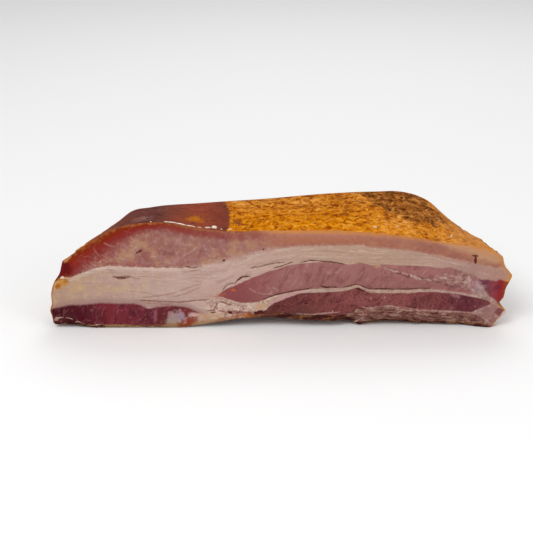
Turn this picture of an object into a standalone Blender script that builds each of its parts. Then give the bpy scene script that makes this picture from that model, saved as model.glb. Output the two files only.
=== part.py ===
"""A thick-cut piece of smoked streaky bacon, resting on its rib side, as one solid.

X runs along the length, Y from the front cut to the back cut and Z up. The origin is the
middle of the footprint's box, on the surface that the piece rests on. The shape is a block
of rows and columns whose rows follow the layers of fat and lean, so that the seams between
them can open as grooves. All the sizes below are in millimetres.
"""

import bmesh
import bpy
import numpy as np
from mathutils import Vector, noise

MM = 0.001

# Driving sizes.
DEPTH_LEFT = 49.0  # thickness of the slice at its left end: the two cuts aren't parallel
DEPTH_RIGHT = 62.0
TAPER_LEFT = 13.0  # how far the left end leans in from the front cut to the back cut
TAPER_RIGHT = 14.0
CROWN = 1.6  # rise of the smoked side between the two cuts
SHOULDER_DIPS = ((0.93, 0.12, 1.6), (0.08, 0.07, 0.8))  # dips of the smoked side towards
# its ends: middle and half width as shares of the length, and depth
RIPPLES = ((9.0, 0.55, 1.0), (28.0, 0.8, 5.0))  # waves of the smoked side: width, rise, seed
HEEL_LIFT = 1.2  # rise of the underside towards the back cut
CUT_EDGE = 1.3  # rounding round each cut face
FOOT_REACH = 0.9  # how much of that rounding the foot of a cut face is spared
TOP_EDGE = 1.5  # rounding between the ends and the smoked side
FOOT_EDGE = 0.8  # rounding between the ends and the underside
END_BULGE = 1.6  # how far the ends swell between the two cuts
END_BUMP = 1.3  # height of the bumps of the ends
END_GRAIN = 13.0  # width of those bumps
LEFT_MARK = -112.0  # x near each end at which the heights of its layers are read
RIGHT_MARK = 109.0

# Lines across the front cut as stations (x, z), x from the middle of the length.
FRONT_BOTTOM = (
    (-114, 1.7), (-104, 1.9), (-96, 0.2), (-86, 0), (-50, 0), (-38, 1.9), (-20, 4.5),
    (-8, 5.6), (10, 4.2), (26, 3.4), (35, 2.9), (39, 0.6), (45, 1.7), (76, 1.2), (92, 0.7),
    (101, 0), (107, 0),
)
RIB_LEAN_TOP = (
    (-115, 12.4), (-85, 13.6), (-70, 13.0), (-48, 9.8), (-34, 7.4), (-11, 8.6), (3, 14.7),
    (13, 17.4), (32, 20.1), (40, 19.0), (85, 18.8), (94, 16.4), (106, 12.6),
)
SEAM = (
    (-115, 15.2), (-85, 15.8), (-60, 14.4), (-38, 13.8), (-32, 14.4), (-22, 12.6),
    (-12, 11.5), (0, 15.6), (10, 19.0), (25, 21.6), (33, 22.2), (43, 21.0), (75, 21.0),
    (85, 20.4), (93, 19.0), (100, 17.2), (110, 15.2),
)
MAIN_LEAN_TOP = (
    (-115, 19.4), (-85, 20.2), (-60, 18.6), (-40, 16.6), (-32, 16.2), (-27, 19.6),
    (-21, 24.0), (-9, 28.8), (2, 33.0), (12, 35.3), (20, 35.6), (45, 33.6), (75, 31.6),
    (87, 30.2), (96, 27.6), (101, 25.6), (112, 23.4),
)
WHITE_FAT_TOP = (
    (-112, 27.0), (-105, 27.4), (-97, 30.4), (-89, 32.0), (-60, 32.6), (-45, 33.6),
    (-35, 35.2), (-9, 42.0), (5, 43.7), (35, 44.2), (64, 41.2), (94, 34.8), (110, 30.8),
)
FRONT_TOP = (
    (-108, 35.6), (-94, 45.8), (-82, 52.6), (-66, 55.8), (-57, 55.8), (-47, 54.3),
    (-32, 51.8), (0, 51.7), (30, 51.5), (50, 50.0), (80, 45.6), (103, 41.3), (107, 40.0),
    (109, 38.2),
)
LAYER_LINES = (
    FRONT_BOTTOM, RIB_LEAN_TOP, SEAM, MAIN_LEAN_TOP, WHITE_FAT_TOP, FRONT_TOP
)
BACK_TOP = (
    (-96, 32.0), (-91, 35.2), (-85, 39.6), (-79, 44.4), (-68, 46.8), (-42, 48.6),
    (-10, 50.2), (30, 52.8), (50, 53.2), (65, 52.8), (73, 50.6), (80, 46.8), (86, 41.2),
    (91, 36.6), (95, 33.6),
)
UNDERSIDE = (
    (-112, 2.4), (-102, 0.8), (-96, 0), (-52, 0), (-38, 1.8), (-16, 4.6), (4, 4.4),
    (28, 1.6), (38, 0), (96, 0), (102, 0.9), (108, 2.4),
)

# Outlines of the two ends as stations (z, x), measured on the front cut.
LEFT_END = (
    (0, 115.0), (5.6, 115.6), (8.6, 116.3), (12.0, 115.4), (18, 115.2), (24, 113.2),
    (28, 110.5), (32, 109.3), (36, 108.2),
)
RIGHT_END = (
    (0, 107.2), (3.6, 109.2), (8.6, 113.4), (11.9, 109.8), (16.3, 111.8), (21.7, 112.7),
    (25.0, 114.2), (28.2, 115.1), (31.0, 112.5), (33.6, 111.0), (37.4, 110.0),
)
LAYERS_DRIFT = 0.035  # share of the length by which the layers shift from front to back

# Rows of the block, counted in layers: 0 is the underside and 5 the smoked side.
ROWS = (
    0, 0.13, 0.4, 0.7, 0.9, 1, 1.5, 2, 2.09, 2.35, 2.65, 2.91, 3, 3.1, 3.32, 3.56, 3.64,
    3.72, 3.9, 4, 4.25, 4.6, 4.87, 5,
)
COLUMNS = 66
SLICES = 12
END_COLUMN = 0.0085  # place of the first column, as a share of the length

# Seams that gape on the cut faces: layer, start x, end x, depth, half width.
GROOVES = (
    (3.0, -30, 48, 1.7, 0.8),
    (2.0, -9, 98, 1.2, 0.7),
    (1.0, -112, -40, 0.5, 0.8),
    (3.64, -87, -70, 1.5, 0.9),
    (1.2, -34, -16, 1.3, 0.8),
)
# Muscles that stand proud of the cut: middle x, middle layer, half length, half height
# in layers, rise.
SWELLS = (
    (38, 2.5, 72, 0.5, 0.9),
    (48, 0.55, 56, 0.5, 0.7),
    (-78, 0.5, 38, 0.5, 0.6),
    (-66, 4.5, 50, 0.6, -0.5),
)
FLECKS_TOP = (62.0, 31.0)  # x, z where the flecked streak through the main muscle starts
FLECKS_SLOPE = -0.34
FLECKS_HALF_WIDTH = 4.5
FLECKS_ROUGHNESS = 0.55
RIM_START = 28.0  # x at which the ragged dried rim along the foot of the cut starts
RIM_HEIGHT = 4.5  # height of its middle
RIM_ROUGHNESS = 0.7
CUT_WAVE = 0.25  # unevenness of the whole cut
UNDERCUT = 3.2  # how far the dried rim of the rib side draws back under the front cut
UNDERCUT_HEIGHT = 7.0
UNDERCUT_END = 110.0  # x at which the foot comes forward again
LEAN_STEP = 0.7  # the smoked side is lower where the fat was trimmed off the lean
LEAN_PATCH_END = -30.0  # x at which that bare lean ends

# Places along the length at which a layer changes between fat and lean.
FOOT_FAT = (-36.0, -9.0)  # the fat that parts the lean along the foot of the cut
MAIN_LEAN_TIP = -30.0
UPPER_LEAN_END = -5.0
LEFT_SHOULDER = -92.0  # left of this the smoked side is fat again

COLOURS = {
    "fat": (0.56, 0.38, 0.30),
    "pink_fat": (0.44, 0.19, 0.12),
    "lean": (0.28, 0.10, 0.09),
    "smoked_fat": (0.55, 0.22, 0.03),
    "smoked_lean": (0.19, 0.05, 0.035),
    "rib_side": (0.13, 0.06, 0.045),
}


def line(stations):
    """A smooth function through stations (place, value), level beyond the last of them."""
    places, values = np.array(stations, float).T
    slopes = np.gradient(values, places)

    def at(place):
        place = np.clip(place, places[0], places[-1])
        left = np.clip(np.searchsorted(places, place) - 1, 0, len(places) - 2)
        width = places[left + 1] - places[left]
        t = (place - places[left]) / width
        rise = values[left + 1] - values[left]
        return (
            values[left]
            + rise * t * t * (3 - 2 * t)
            + width * t * (1 - t) * ((1 - t) * slopes[left] - t * slopes[left + 1])
        )

    return at


LAYER_HEIGHTS = [line(stations) for stations in LAYER_LINES]
BACK_TOP_HEIGHT = line(BACK_TOP)
UNDERSIDE_HEIGHT = line(UNDERSIDE)
LEFT_REACH = line(LEFT_END)
RIGHT_REACH = line(RIGHT_END)


def ease(t):
    """A smooth step from 0 to 1."""
    t = np.clip(t, 0, 1)
    return t * t * (3 - 2 * t)


def mix(a, b, t):
    return a + (b - a) * t


def uneven(x, y, z, grain, seed):
    """Soft unevenness of about -1 to 1, with bumps about as wide as grain."""
    points = np.stack(np.broadcast_arrays(x, y, z), axis=-1).reshape(-1, 3) / grain
    values = [noise.fractal(Vector(p) + Vector((seed, 0, 0)), 1.0, 2.0, 3) for p in points]
    return np.array(values).reshape(np.shape(x))


def front_height(layer, x):
    """Height on the front cut of a layer line, or of a row between two of them."""
    below = np.clip(np.floor(layer).astype(int), 0, len(LAYER_LINES) - 2)
    heights = np.array([height(x) for height in LAYER_HEIGHTS])
    place = np.arange(len(x))
    return mix(heights[below, place], heights[below + 1, place], layer - below)


def rounding(radius, distance):
    """How far a rounded edge draws in, at a distance from the edge."""
    short = radius - np.clip(distance, 0, radius)
    return radius - np.sqrt(radius * radius - short * short)


def row_ends(layer, depth_share):
    """Left and right x of a row, at a share of the way from the front cut to the back."""
    left_z, right_z = (
        front_height(layer, np.full_like(layer, mark)) for mark in (LEFT_MARK, RIGHT_MARK)
    )
    bulge = END_BULGE * 4 * depth_share * (1 - depth_share)
    away = DEPTH_RIGHT * depth_share
    bumpy = END_BUMP * ease(depth_share * 6)
    left_bump = bumpy * uneven(0 * away, away, left_z, END_GRAIN, 3.0)
    right_bump = bumpy * uneven(0 * away, away, right_z, END_GRAIN, 8.0)
    left = -LEFT_REACH(left_z) + TAPER_LEFT * depth_share - bulge - left_bump
    right = RIGHT_REACH(right_z) - TAPER_RIGHT * depth_share + bulge + right_bump
    left += rounding(TOP_EDGE, LAYER_HEIGHTS[-1](LEFT_MARK) - left_z)
    left += rounding(FOOT_EDGE, left_z - LAYER_HEIGHTS[0](LEFT_MARK))
    right -= rounding(TOP_EDGE, LAYER_HEIGHTS[-1](RIGHT_MARK) - right_z)
    right -= rounding(FOOT_EDGE, right_z - LAYER_HEIGHTS[0](RIGHT_MARK))
    return left, right


def bare_lean(x):
    """1 on the bare lean at the left of the smoked side, and 0 on the smoked fat."""
    return ease((LEAN_PATCH_END + 1.5 - x) / 3.0)


def top_height(along, depth_share):
    """Height of the smoked side."""
    layer = np.full_like(along, len(LAYER_LINES) - 1.0)
    front_x = mix(*row_ends(layer, np.zeros_like(along)), along)
    back_x = mix(*row_ends(layer, np.ones_like(along)), along)
    x = mix(front_x, back_x, depth_share)
    level = mix(front_height(layer, front_x), BACK_TOP_HEIGHT(back_x), depth_share)
    inside = ease(depth_share * 7) * ease((1 - depth_share) * 7)
    crown = CROWN * 4 * depth_share * (1 - depth_share) * ease(along / 0.2)
    crown = crown * ease((1 - along) / 0.3)
    for middle, half_width, dip in SHOULDER_DIPS:
        crown = crown - dip * np.sin(np.pi * depth_share) * ease(
            1 - abs(along - middle) / half_width
        )
    ripple = sum(
        rise * uneven(x, DEPTH_RIGHT * depth_share, 0 * x, width, seed)
        for width, rise, seed in RIPPLES
    )
    return level + crown + inside * (ripple - LEAN_STEP * bare_lean(x))


def bottom_height(along, depth_share):
    """Height of the underside, which is flat where the piece's weight presses it down."""
    layer = np.zeros_like(along)
    front_x = mix(*row_ends(layer, np.zeros_like(along)), along)
    x = mix(*row_ends(layer, depth_share), along)
    settled = ease(depth_share / 0.2)
    lifted = HEEL_LIFT * ease((depth_share - 0.86) / 0.14)
    return mix(front_height(layer, front_x), UNDERSIDE_HEIGHT(x), settled) + lifted


def layer_share(layer, along, depth_share):
    """Share of the piece's height at which a row lies."""
    moved = np.clip(along + LAYERS_DRIFT * depth_share, 0, 1)
    x = mix(*row_ends(layer, np.zeros_like(along)), moved)
    low = front_height(np.zeros_like(layer), x)
    high = front_height(np.full_like(layer, len(LAYER_LINES) - 1.0), x)
    return (front_height(layer, x) - low) / (high - low)


def cut_relief(x, z, layer, along, depth_share):
    """How far a cut face stands out: the swell of the muscles less the gaping seams."""
    cut = DEPTH_LEFT * depth_share
    fleck_line = FLECKS_TOP[1] + (x - FLECKS_TOP[0]) * FLECKS_SLOPE
    flecks = ease((x - FLECKS_TOP[0]) / 12) * ease(1 - abs(z - fleck_line) / FLECKS_HALF_WIDTH)
    rim = ease((x - RIM_START) / 8) * ease(1 - abs(z - RIM_HEIGHT) / RIM_HEIGHT)
    out = CUT_WAVE * uneven(x, cut, z, 16.0, 2.0)
    out = out + uneven(x, cut, z, 4.5, 6.0) * (FLECKS_ROUGHNESS * flecks + RIM_ROUGHNESS * rim)
    for middle, middle_layer, half_length, half_height, rise in SWELLS:
        reach = ((x - middle) / half_length) ** 2 + ((layer - middle_layer) / half_height) ** 2
        out = out + rise * np.clip(1 - reach, 0, 1)
    for groove_layer, start, end, depth, half_width in GROOVES:
        seam = np.full_like(layer, groove_layer)
        height = mix(
            bottom_height(along, depth_share),
            top_height(along, depth_share),
            layer_share(seam, along, depth_share),
        )
        open_here = ease((x - start) / 4) * ease((end - x) / 6)
        ragged = 0.75 + 0.5 * uneven(x, 0 * x, 0 * x, 7.0, groove_layer)
        out = out - depth * ragged * open_here * np.exp(-(((z - height) / half_width) ** 2))
    return out


def depth_at(x):
    """Distance between the two cuts."""
    return mix(DEPTH_LEFT, DEPTH_RIGHT, (x - LEFT_MARK) / (RIGHT_MARK - LEFT_MARK))


def shape(along, depth_share, layer):
    """Place of each point of the block, from its share of the length and depth and its layer."""
    left, right = row_ends(layer, depth_share)
    x = mix(left, right, along)
    low = bottom_height(along, depth_share)
    high = top_height(along, depth_share)
    z = mix(low, high, layer_share(layer, along, depth_share))
    depth = depth_at(x)
    y = CUT_EDGE + depth_share * (depth - 2 * CUT_EDGE)
    rim = np.minimum(
        np.minimum(z - low + FOOT_REACH, high - z), np.minimum(x - left, right - x)
    )
    relief = cut_relief(x, z, layer, along, depth_share) * ease(rim / 2.5)
    tucked = UNDERCUT * (1 - ease((z - low) / UNDERCUT_HEIGHT))
    tucked = tucked * ease((x - RIM_START + 4) / 14) * ease((UNDERCUT_END - x) / 22)
    front_y = rounding(CUT_EDGE, rim) - relief
    back_y = depth - rounding(CUT_EDGE, rim) + relief
    y = np.where(depth_share == 0, front_y, y)
    y = np.where(depth_share == 1, back_y, y)
    y = y + tucked * (1 - ease(depth_share / 0.15))
    return np.stack([x, y, np.maximum(z, 0)], axis=-1)


def block():
    """A cube of side 1 cut into the columns, slices and rows of the piece."""
    mesh = bmesh.new()
    bmesh.ops.create_cube(mesh, size=1.0)
    bmesh.ops.translate(mesh, verts=mesh.verts, vec=(0.5, 0.5, 0.5))
    for axis, parts in enumerate((COLUMNS, SLICES, len(ROWS) - 1)):
        across = [e for e in mesh.edges if abs(e.verts[0].co[axis] - e.verts[1].co[axis]) > 0.5]
        bmesh.ops.subdivide_edges(mesh, edges=across, cuts=parts - 1, use_grid_fill=True)
    return mesh


def spread(share, first):
    """Shares from 0 to 1 with the first and last steps shortened to first."""
    steps = len(np.unique(np.round(share, 6))) - 1
    inner = (share * steps - 1) / (steps - 2)
    middle = mix(first, 1 - first, inner)
    return np.where(share < 0.5 / steps, 0.0, np.where(share > 1 - 0.5 / steps, 1.0, middle))


def material(name):
    """A plain finish of one of the piece's colours."""
    finish = bpy.data.materials.new(name)
    finish.use_nodes = True
    shader = finish.node_tree.nodes["Principled BSDF"]
    shader.inputs["Base Color"].default_value = (*COLOURS[name], 1.0)
    shader.inputs["Roughness"].default_value = 0.5
    shader.inputs["Metallic"].default_value = 0.0
    return finish


def tissue(x, depth_share, layer, low_layer, high_layer):
    """Name of the finish of a face, from its x, its share of the depth and its layers."""
    if depth_share in (0, 1):
        if layer < 1:
            return "fat" if FOOT_FAT[0] < x < FOOT_FAT[1] else "lean"
        if 2 < layer < 3:
            return "lean" if x > MAIN_LEAN_TIP else "fat"
        if layer > 4:
            return "lean" if x < UPPER_LEAN_END else "pink_fat"
        return "fat"
    if high_layer == 0:
        return "rib_side"
    if low_layer == len(LAYER_LINES) - 1:
        return "smoked_lean" if LEFT_SHOULDER < x < LEAN_PATCH_END else "smoked_fat"
    lean_end = layer < 1 or (2 < layer < 3 if x > 0 else layer > 4)
    return "smoked_lean" if lean_end else "smoked_fat"


def build():
    """Makes the piece in its own collection."""
    for old in list(bpy.data.objects):
        bpy.data.objects.remove(old)
    collection = bpy.data.collections.new("bacon")
    bpy.context.scene.collection.children.link(collection)

    mesh = block()
    shares = np.array([v.co[:] for v in mesh.verts])
    along = spread(np.round(shares[:, 0], 6), END_COLUMN)
    depth_share = np.round(shares[:, 1], 6)
    rows = np.arange(len(ROWS)) / (len(ROWS) - 1)
    layer = np.interp(np.round(shares[:, 2], 6), rows, ROWS)
    places = shape(along, depth_share, layer)
    middle = (places.min(axis=0) + places.max(axis=0)) / 2
    places[:, :2] -= middle[:2]
    for vertex, place in zip(mesh.verts, places):
        vertex.co = Vector(place * MM)

    data = bpy.data.meshes.new("bacon_slice")
    names = list(COLOURS)
    for name in names:
        data.materials.append(material(name))
    for face in mesh.faces:
        corners = [v.index for v in face.verts]
        x = places[corners, 0].mean() + middle[0]
        rows_met = layer[corners]
        finish = tissue(
            x, depth_share[corners].mean(), rows_met.mean(), rows_met.min(), rows_met.max()
        )
        face.material_index = names.index(finish)
    mesh.to_mesh(data)
    mesh.free()
    data.shade_smooth()
    data.set_sharp_from_angle(angle=np.radians(50))
    collection.objects.link(bpy.data.objects.new("bacon_slice", data))


build()
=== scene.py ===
"""Dresses a thick-cut piece of smoked streaky bacon that rests on its rib side.

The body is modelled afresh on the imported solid's own rules, with finer rows and relief, and
it carries its tissue map as mesh attributes: signed distances, in millimetres, to the edges of
each muscle, seam and stain. The finishes turn those into meat, fat and smoked skin. X runs
along the length, Y from the front cut to the back cut and Z up. Sizes are in millimetres
until a mesh is written.
"""

import logging
import math
from collections.abc import Callable
from dataclasses import dataclass, field
from enum import Enum
from functools import cached_property

import bmesh
import bpy
import numpy as np
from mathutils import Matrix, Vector, noise


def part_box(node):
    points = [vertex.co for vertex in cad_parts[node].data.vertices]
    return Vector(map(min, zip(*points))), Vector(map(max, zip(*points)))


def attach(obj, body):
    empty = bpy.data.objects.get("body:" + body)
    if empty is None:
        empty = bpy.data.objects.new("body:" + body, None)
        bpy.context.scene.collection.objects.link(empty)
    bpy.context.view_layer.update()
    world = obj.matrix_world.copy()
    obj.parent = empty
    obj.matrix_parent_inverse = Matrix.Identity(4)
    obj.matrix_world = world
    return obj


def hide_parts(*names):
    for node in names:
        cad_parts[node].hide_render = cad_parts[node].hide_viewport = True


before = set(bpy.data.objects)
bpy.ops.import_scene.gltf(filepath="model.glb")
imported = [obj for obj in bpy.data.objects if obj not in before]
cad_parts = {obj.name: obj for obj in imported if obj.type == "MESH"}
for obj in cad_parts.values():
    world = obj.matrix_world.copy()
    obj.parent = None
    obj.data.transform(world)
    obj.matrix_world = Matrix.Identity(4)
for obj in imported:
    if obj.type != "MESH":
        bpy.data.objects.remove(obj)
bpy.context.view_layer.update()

MM = 0.001
NODE = "bacon_slice"
# Light that the wet surface itself throws back, and how brightly the set lights a pigment.
SHEEN = 0.004
GAIN = 1.1
DARKEST = 0.0012
# Edges that turn further than this stay sharp.
SHARP = math.radians(60)
BODY = "root"
LOG = logging.getLogger("bacon")

Array = np.ndarray
Colour = tuple[float, float, float, float]
Stops = tuple[tuple[float, Colour], ...]
Stations = tuple[tuple[float, float], ...]
Triple = tuple[float, float, float]


# ---------------------------------------------------------------------------------------
# Lines, curves and unevenness
# ---------------------------------------------------------------------------------------


def ease(t: Array) -> Array:
    """Returns a smooth step from 0 to 1."""
    t = np.clip(t, 0, 1)
    return t * t * (3 - 2 * t)


def mix(first: Array, second: Array, share: Array) -> Array:
    """Returns the point at a share of the way from first to second."""
    return first + (second - first) * share


def rounding(radius: float, distance: Array) -> Array:
    """Returns how far a rounded edge draws in, at a distance from the edge."""
    short = radius - np.clip(distance, 0, radius)
    return radius - np.sqrt(radius * radius - short * short)


def uneven(x: Array, y: Array, z: Array, grain: float, seed: float) -> Array:
    """Gives soft unevenness in space.

    Args:
        x: Places along the length.
        y: Places in depth.
        z: Heights.
        grain: Width of the bumps.
        seed: Offset that gives each use its own bumps.

    Returns:
        Values of about -1 to 1, shaped as x.
    """
    points = np.stack(np.broadcast_arrays(x, y, z), axis=-1).reshape(-1, 3) / grain
    shift = Vector((seed, 0, 0))
    values = [noise.fractal(Vector(point) + shift, 1.0, 2.0, 3) for point in points]
    return np.array(values).reshape(np.shape(x))


def once(rule: Callable[..., Array], *inputs: Array) -> Array:
    """Works a rule out only once for each different set of inputs.

    Args:
        rule: The rule, which gives its outcomes along the last axis.
        *inputs: The rule's inputs, all of one length.

    Returns:
        The rule's outcome for every input.
    """
    sets, places = np.unique(np.stack(inputs, axis=1), axis=0, return_inverse=True)
    return rule(*sets.T)[..., places.ravel()]


@dataclass(frozen=True)
class Line:
    """A smooth line through stations (place, value), level beyond the last of them."""

    stations: Stations

    def __call__(self, place: Array) -> Array:
        """Returns the line's value at each place."""
        places, values = np.array(self.stations, float).T
        slopes = np.gradient(values, places)
        place = np.clip(place, places[0], places[-1])
        left = np.clip(np.searchsorted(places, place) - 1, 0, len(places) - 2)
        width = places[left + 1] - places[left]
        t = (place - places[left]) / width
        rise = values[left + 1] - values[left]
        return (
            values[left]
            + rise * t * t * (3 - 2 * t)
            + width * t * (1 - t) * ((1 - t) * slopes[left] - t * slopes[left + 1])
        )

    def above(self, place: Array, value: Array) -> Array:
        """Returns how far each point lies above the line, measured square to the line."""
        step = 0.5
        slope = (self(place + step) - self(place - step)) / (2 * step)
        return (value - self(place)) / np.sqrt(1 + slope * slope)


def nearest_on(corners: Stations, u: Array, w: Array) -> tuple[Array, Array, Array]:
    """Finds the nearest point of a broken line.

    Args:
        corners: The line's corners.
        u: Places along the length.
        w: Heights.

    Returns:
        The distance to the line, the side of it as 1 or -1, and how far along it the
        nearest point is.
    """
    points = np.array(corners, float)
    distance = np.full(np.shape(u), 1e9)
    side = np.ones(np.shape(u))
    travel = np.zeros(np.shape(u))
    walked = 0.0
    for first, second in zip(points[:-1], points[1:]):
        length = float(np.hypot(*(second - first)))
        run, rise = (second - first) / length
        t = np.clip((u - first[0]) * run + (w - first[1]) * rise, 0, length)
        off_u, off_w = u - first[0] - t * run, w - first[1] - t * rise
        far = np.hypot(off_u, off_w)
        nearer = far < distance
        distance = np.where(nearer, far, distance)
        side = np.where(nearer, np.where(run * off_w < rise * off_u, -1.0, 1.0), side)
        travel = np.where(nearer, walked + t, travel)
        walked += length
    return distance, side, travel


@dataclass(frozen=True)
class Outline:
    """A closed outline on the front cut, by its corners (x, z)."""

    corners: Stations

    def inside(self, u: Array, w: Array) -> Array:
        """Returns the distance to the outline, positive inside it."""
        closed = (*self.corners, self.corners[0])
        distance = nearest_on(closed, u, w)[0]
        within = np.zeros(np.shape(u), bool)
        for (ax, az), (bx, bz) in zip(closed[:-1], closed[1:]):
            if az != bz:
                within ^= ((az > w) != (bz > w)) & (u < ax + (bx - ax) * (w - az) / (bz - az))
        return np.where(within, distance, -distance)


class Mark(Enum):
    """What a trace shows as."""

    DARK = "dark"
    PALE = "pale"


@dataclass(frozen=True)
class Trace:
    """A thin line on the cut: a split, a vessel, a vein or a thread of membrane.

    Its corners are (x, z), and its tone runs from 0, barely seen, to 1. A trace with a depth
    is a split that opens. Traces that run close to each other lie in different strands.
    """

    corners: Stations
    half_width: float
    tone: float
    strand: int = 0
    depth: float = 0.0
    taper: float = 3.0
    mark: Mark = Mark.DARK

    def measure(self, u: Array, w: Array) -> tuple[Array, Array]:
        """Gives each point's signed distance to the trace, and how open the trace is there."""
        distance, side, travel = nearest_on(self.corners, u, w)
        length = sum(math.dist(a, b) for a, b in zip(self.corners[:-1], self.corners[1:]))
        taper = min(self.taper, length / 2)
        opening = ease(travel / taper) * ease((length - travel) / taper)
        return distance * side, opening


def thread(
    corners: Stations, half_width: float, tone: float, strand: int = 0, taper: float = 3.0
) -> Trace:
    """Returns a pale thread of fat or membrane, which never opens."""
    return Trace(corners, half_width, tone, strand, taper=taper, mark=Mark.PALE)


# Lines across the front cut as stations (x, z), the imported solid's own. Their x is measured
# before the piece is centred.
FRONT_BOTTOM = Line((
    (-114, 1.7), (-104, 1.9), (-96, 0.2), (-86, 0), (-50, 0), (-38, 1.9), (-20, 4.5), (-8, 5.6),
    (10, 4.2), (26, 3.4), (35, 2.9), (39, 0.6), (45, 1.7), (76, 1.2), (92, 0.7), (101, 0), (107, 0),
))
RIB_LEAN_TOP = Line((
    (-115, 12.4), (-85, 13.6), (-70, 13), (-48, 9.8), (-34, 7.4), (-11, 8.6), (3, 14.7), (13, 17.4),
    (32, 20.1), (40, 19), (85, 18.8), (94, 16.4), (106, 12.6),
))
SEAM = Line((
    (-115, 15.2), (-85, 15.8), (-60, 14.4), (-38, 13.8), (-32, 14.4), (-22, 12.6), (-12, 11.5),
    (0, 15.6), (10, 19), (25, 21.6), (33, 22.2), (43, 21), (75, 21), (85, 20.4), (93, 19), (100, 17.2),
    (110, 15.2),
))
MAIN_LEAN_TOP = Line((
    (-115, 19.4), (-85, 20.2), (-60, 18.6), (-40, 16.6), (-32, 16.2), (-27, 19.6), (-21, 24),
    (-9, 28.8), (2, 33), (12, 35.3), (20, 35.6), (45, 33.6), (75, 31.6), (87, 30.2), (96, 27.6),
    (101, 25.6), (112, 23.4),
))
WHITE_FAT_TOP = Line((
    (-112, 27), (-105, 27.4), (-97, 30.4), (-89, 32), (-60, 32.6), (-45, 33.6), (-35, 35.2), (-9, 42),
    (5, 43.7), (35, 44.2), (64, 41.2), (94, 34.8), (110, 30.8),
))
FRONT_TOP = Line((
    (-108, 35.6), (-94, 45.8), (-82, 52.6), (-66, 55.8), (-57, 55.8), (-47, 54.3), (-32, 51.8),
    (0, 51.7), (30, 51.5), (50, 50), (80, 45.6), (103, 41.3), (107, 40), (109, 38.2),
))
LAYER_LINES = (FRONT_BOTTOM, RIB_LEAN_TOP, SEAM, MAIN_LEAN_TOP, WHITE_FAT_TOP, FRONT_TOP)
SKIN_LAYER = len(LAYER_LINES) - 1.0
BACK_TOP = Line((
    (-96, 32), (-91, 35.2), (-85, 39.6), (-79, 44.4), (-68, 46.8), (-42, 48.6), (-10, 50.2), (30, 52.8),
    (50, 53.2), (65, 52.8), (73, 50.6), (80, 46.8), (86, 41.2), (91, 36.6), (95, 33.6),
))
UNDERSIDE = Line((
    (-112, 2.4), (-102, 0.8), (-96, 0), (-52, 0), (-38, 1.8), (-16, 4.6), (4, 4.4), (28, 1.6), (38, 0),
    (96, 0), (102, 0.9), (108, 2.4),
))

# Outlines of the two ends as stations (z, x), measured on the front cut.
LEFT_END = Line((
    (0, 115), (5.6, 115.6), (8.6, 116.3), (12, 115.4), (18, 115.2), (24, 113.2), (28, 110.5),
    (32, 109.3), (36, 108.2),
))
RIGHT_END = Line((
    (0, 107.2), (3.6, 109.2), (8.6, 113.4), (11.9, 109.8), (16.3, 111.8), (21.7, 112.7), (25, 114.2),
    (28.2, 115.1), (31, 112.5), (33.6, 111), (37.4, 110),
))

# Edges of the tissues on the front cut, x from the middle of the box.
MAIN_LEAN = Outline((
    (-31.3, 18), (-29, 19.8), (-26.3, 22), (-21.7, 24), (-15.2, 27), (-9.8, 28.8), (-6, 30.5),
    (-1.4, 31.6), (4.3, 33.7), (8.8, 34.4), (15.7, 35.2), (21.3, 35.5), (27, 35), (34.6, 34.1),
    (42.2, 34.3), (52, 34.2), (60.7, 33.5), (74.1, 32.7), (78.3, 31.7), (84.7, 32.2), (90.8, 29.7),
    (96.7, 27.7), (100, 25.8), (98, 22.3), (94.2, 19.2), (85.9, 19.5), (77.5, 20.8), (68.3, 20.8),
    (45.1, 21.3), (36.8, 22.1), (30.4, 21.6), (15.9, 21.2), (8.2, 19.8), (2.5, 18.6), (-2.1, 17.6),
    (-7.1, 15.9), (-11, 14.2), (-15.2, 13.6), (-19.1, 13.6), (-22.9, 14.7), (-29.4, 17.1),
))
FOOT_LEAN_RIGHT = Outline((
    (-12, -3), (-9.4, 7.2), (-7.7, 8.9), (-5.9, 10.9), (-2.9, 13.4), (1.6, 15.2), (6.1, 17.1),
    (9.7, 18.4), (12, 18.8), (25.9, 19.4), (31.2, 20), (35, 20.6), (38.8, 20.9), (42.7, 20.5),
    (45, 19.5), (49.2, 19), (63.7, 18.9), (71.1, 19.4), (77.6, 19.4), (84.5, 18.8), (91.6, 17.8),
    (96.3, 16.5), (101, 15.7), (105.2, 14.2), (106, 13.4), (105.4, 12.5), (101.3, 10.1), (96.8, 8.1),
    (92, 6.5), (88, -3),
))
FOOT_LEAN_LEFT = Outline((
    (-120, 9.6), (-113.9, 9.8), (-106.1, 10.6), (-93.9, 11.8), (-87.7, 12.7), (-79.8, 12.8), (-73, 13),
    (-69.8, 12.1), (-66.9, 10.8), (-63.9, 10.9), (-61.3, 11.3), (-55.2, 12.2), (-51.6, 12),
    (-47.7, 11.6), (-45.3, 10.8), (-42.7, 9.6), (-40.3, 8), (-38.6, 7), (-41.2, 7.6), (-43.8, 8.5),
    (-45.6, 7.4), (-46, 5.8), (-48, 5.8), (-48.3, 8.2), (-50, 8.7), (-52.8, 8), (-54.4, 9),
    (-55.7, 6.7), (-56.6, 3.5), (-57.6, -4), (-120, -4),
))
LEFT_LENS = Outline((
    (-120, 34.8), (-106.6, 34.6), (-104, 33.4), (-103.2, 30.5), (-103.4, 26.5), (-105.2, 24.2),
    (-108, 24.6), (-120, 26),
))
RIGHT_BLOCK = Outline((
    (98.8, 25.6), (112.4, 24), (119, 24), (119, 16), (114, 13.4), (110, 12.2), (107.5, 15.2),
    (105.1, 16.7), (101.8, 20.6),
))
RIGHT_NUB = Outline(((107.6, 8.1), (110.2, 10.5), (112.8, 9.2), (113, 7), (110.4, 5.9)))
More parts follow.
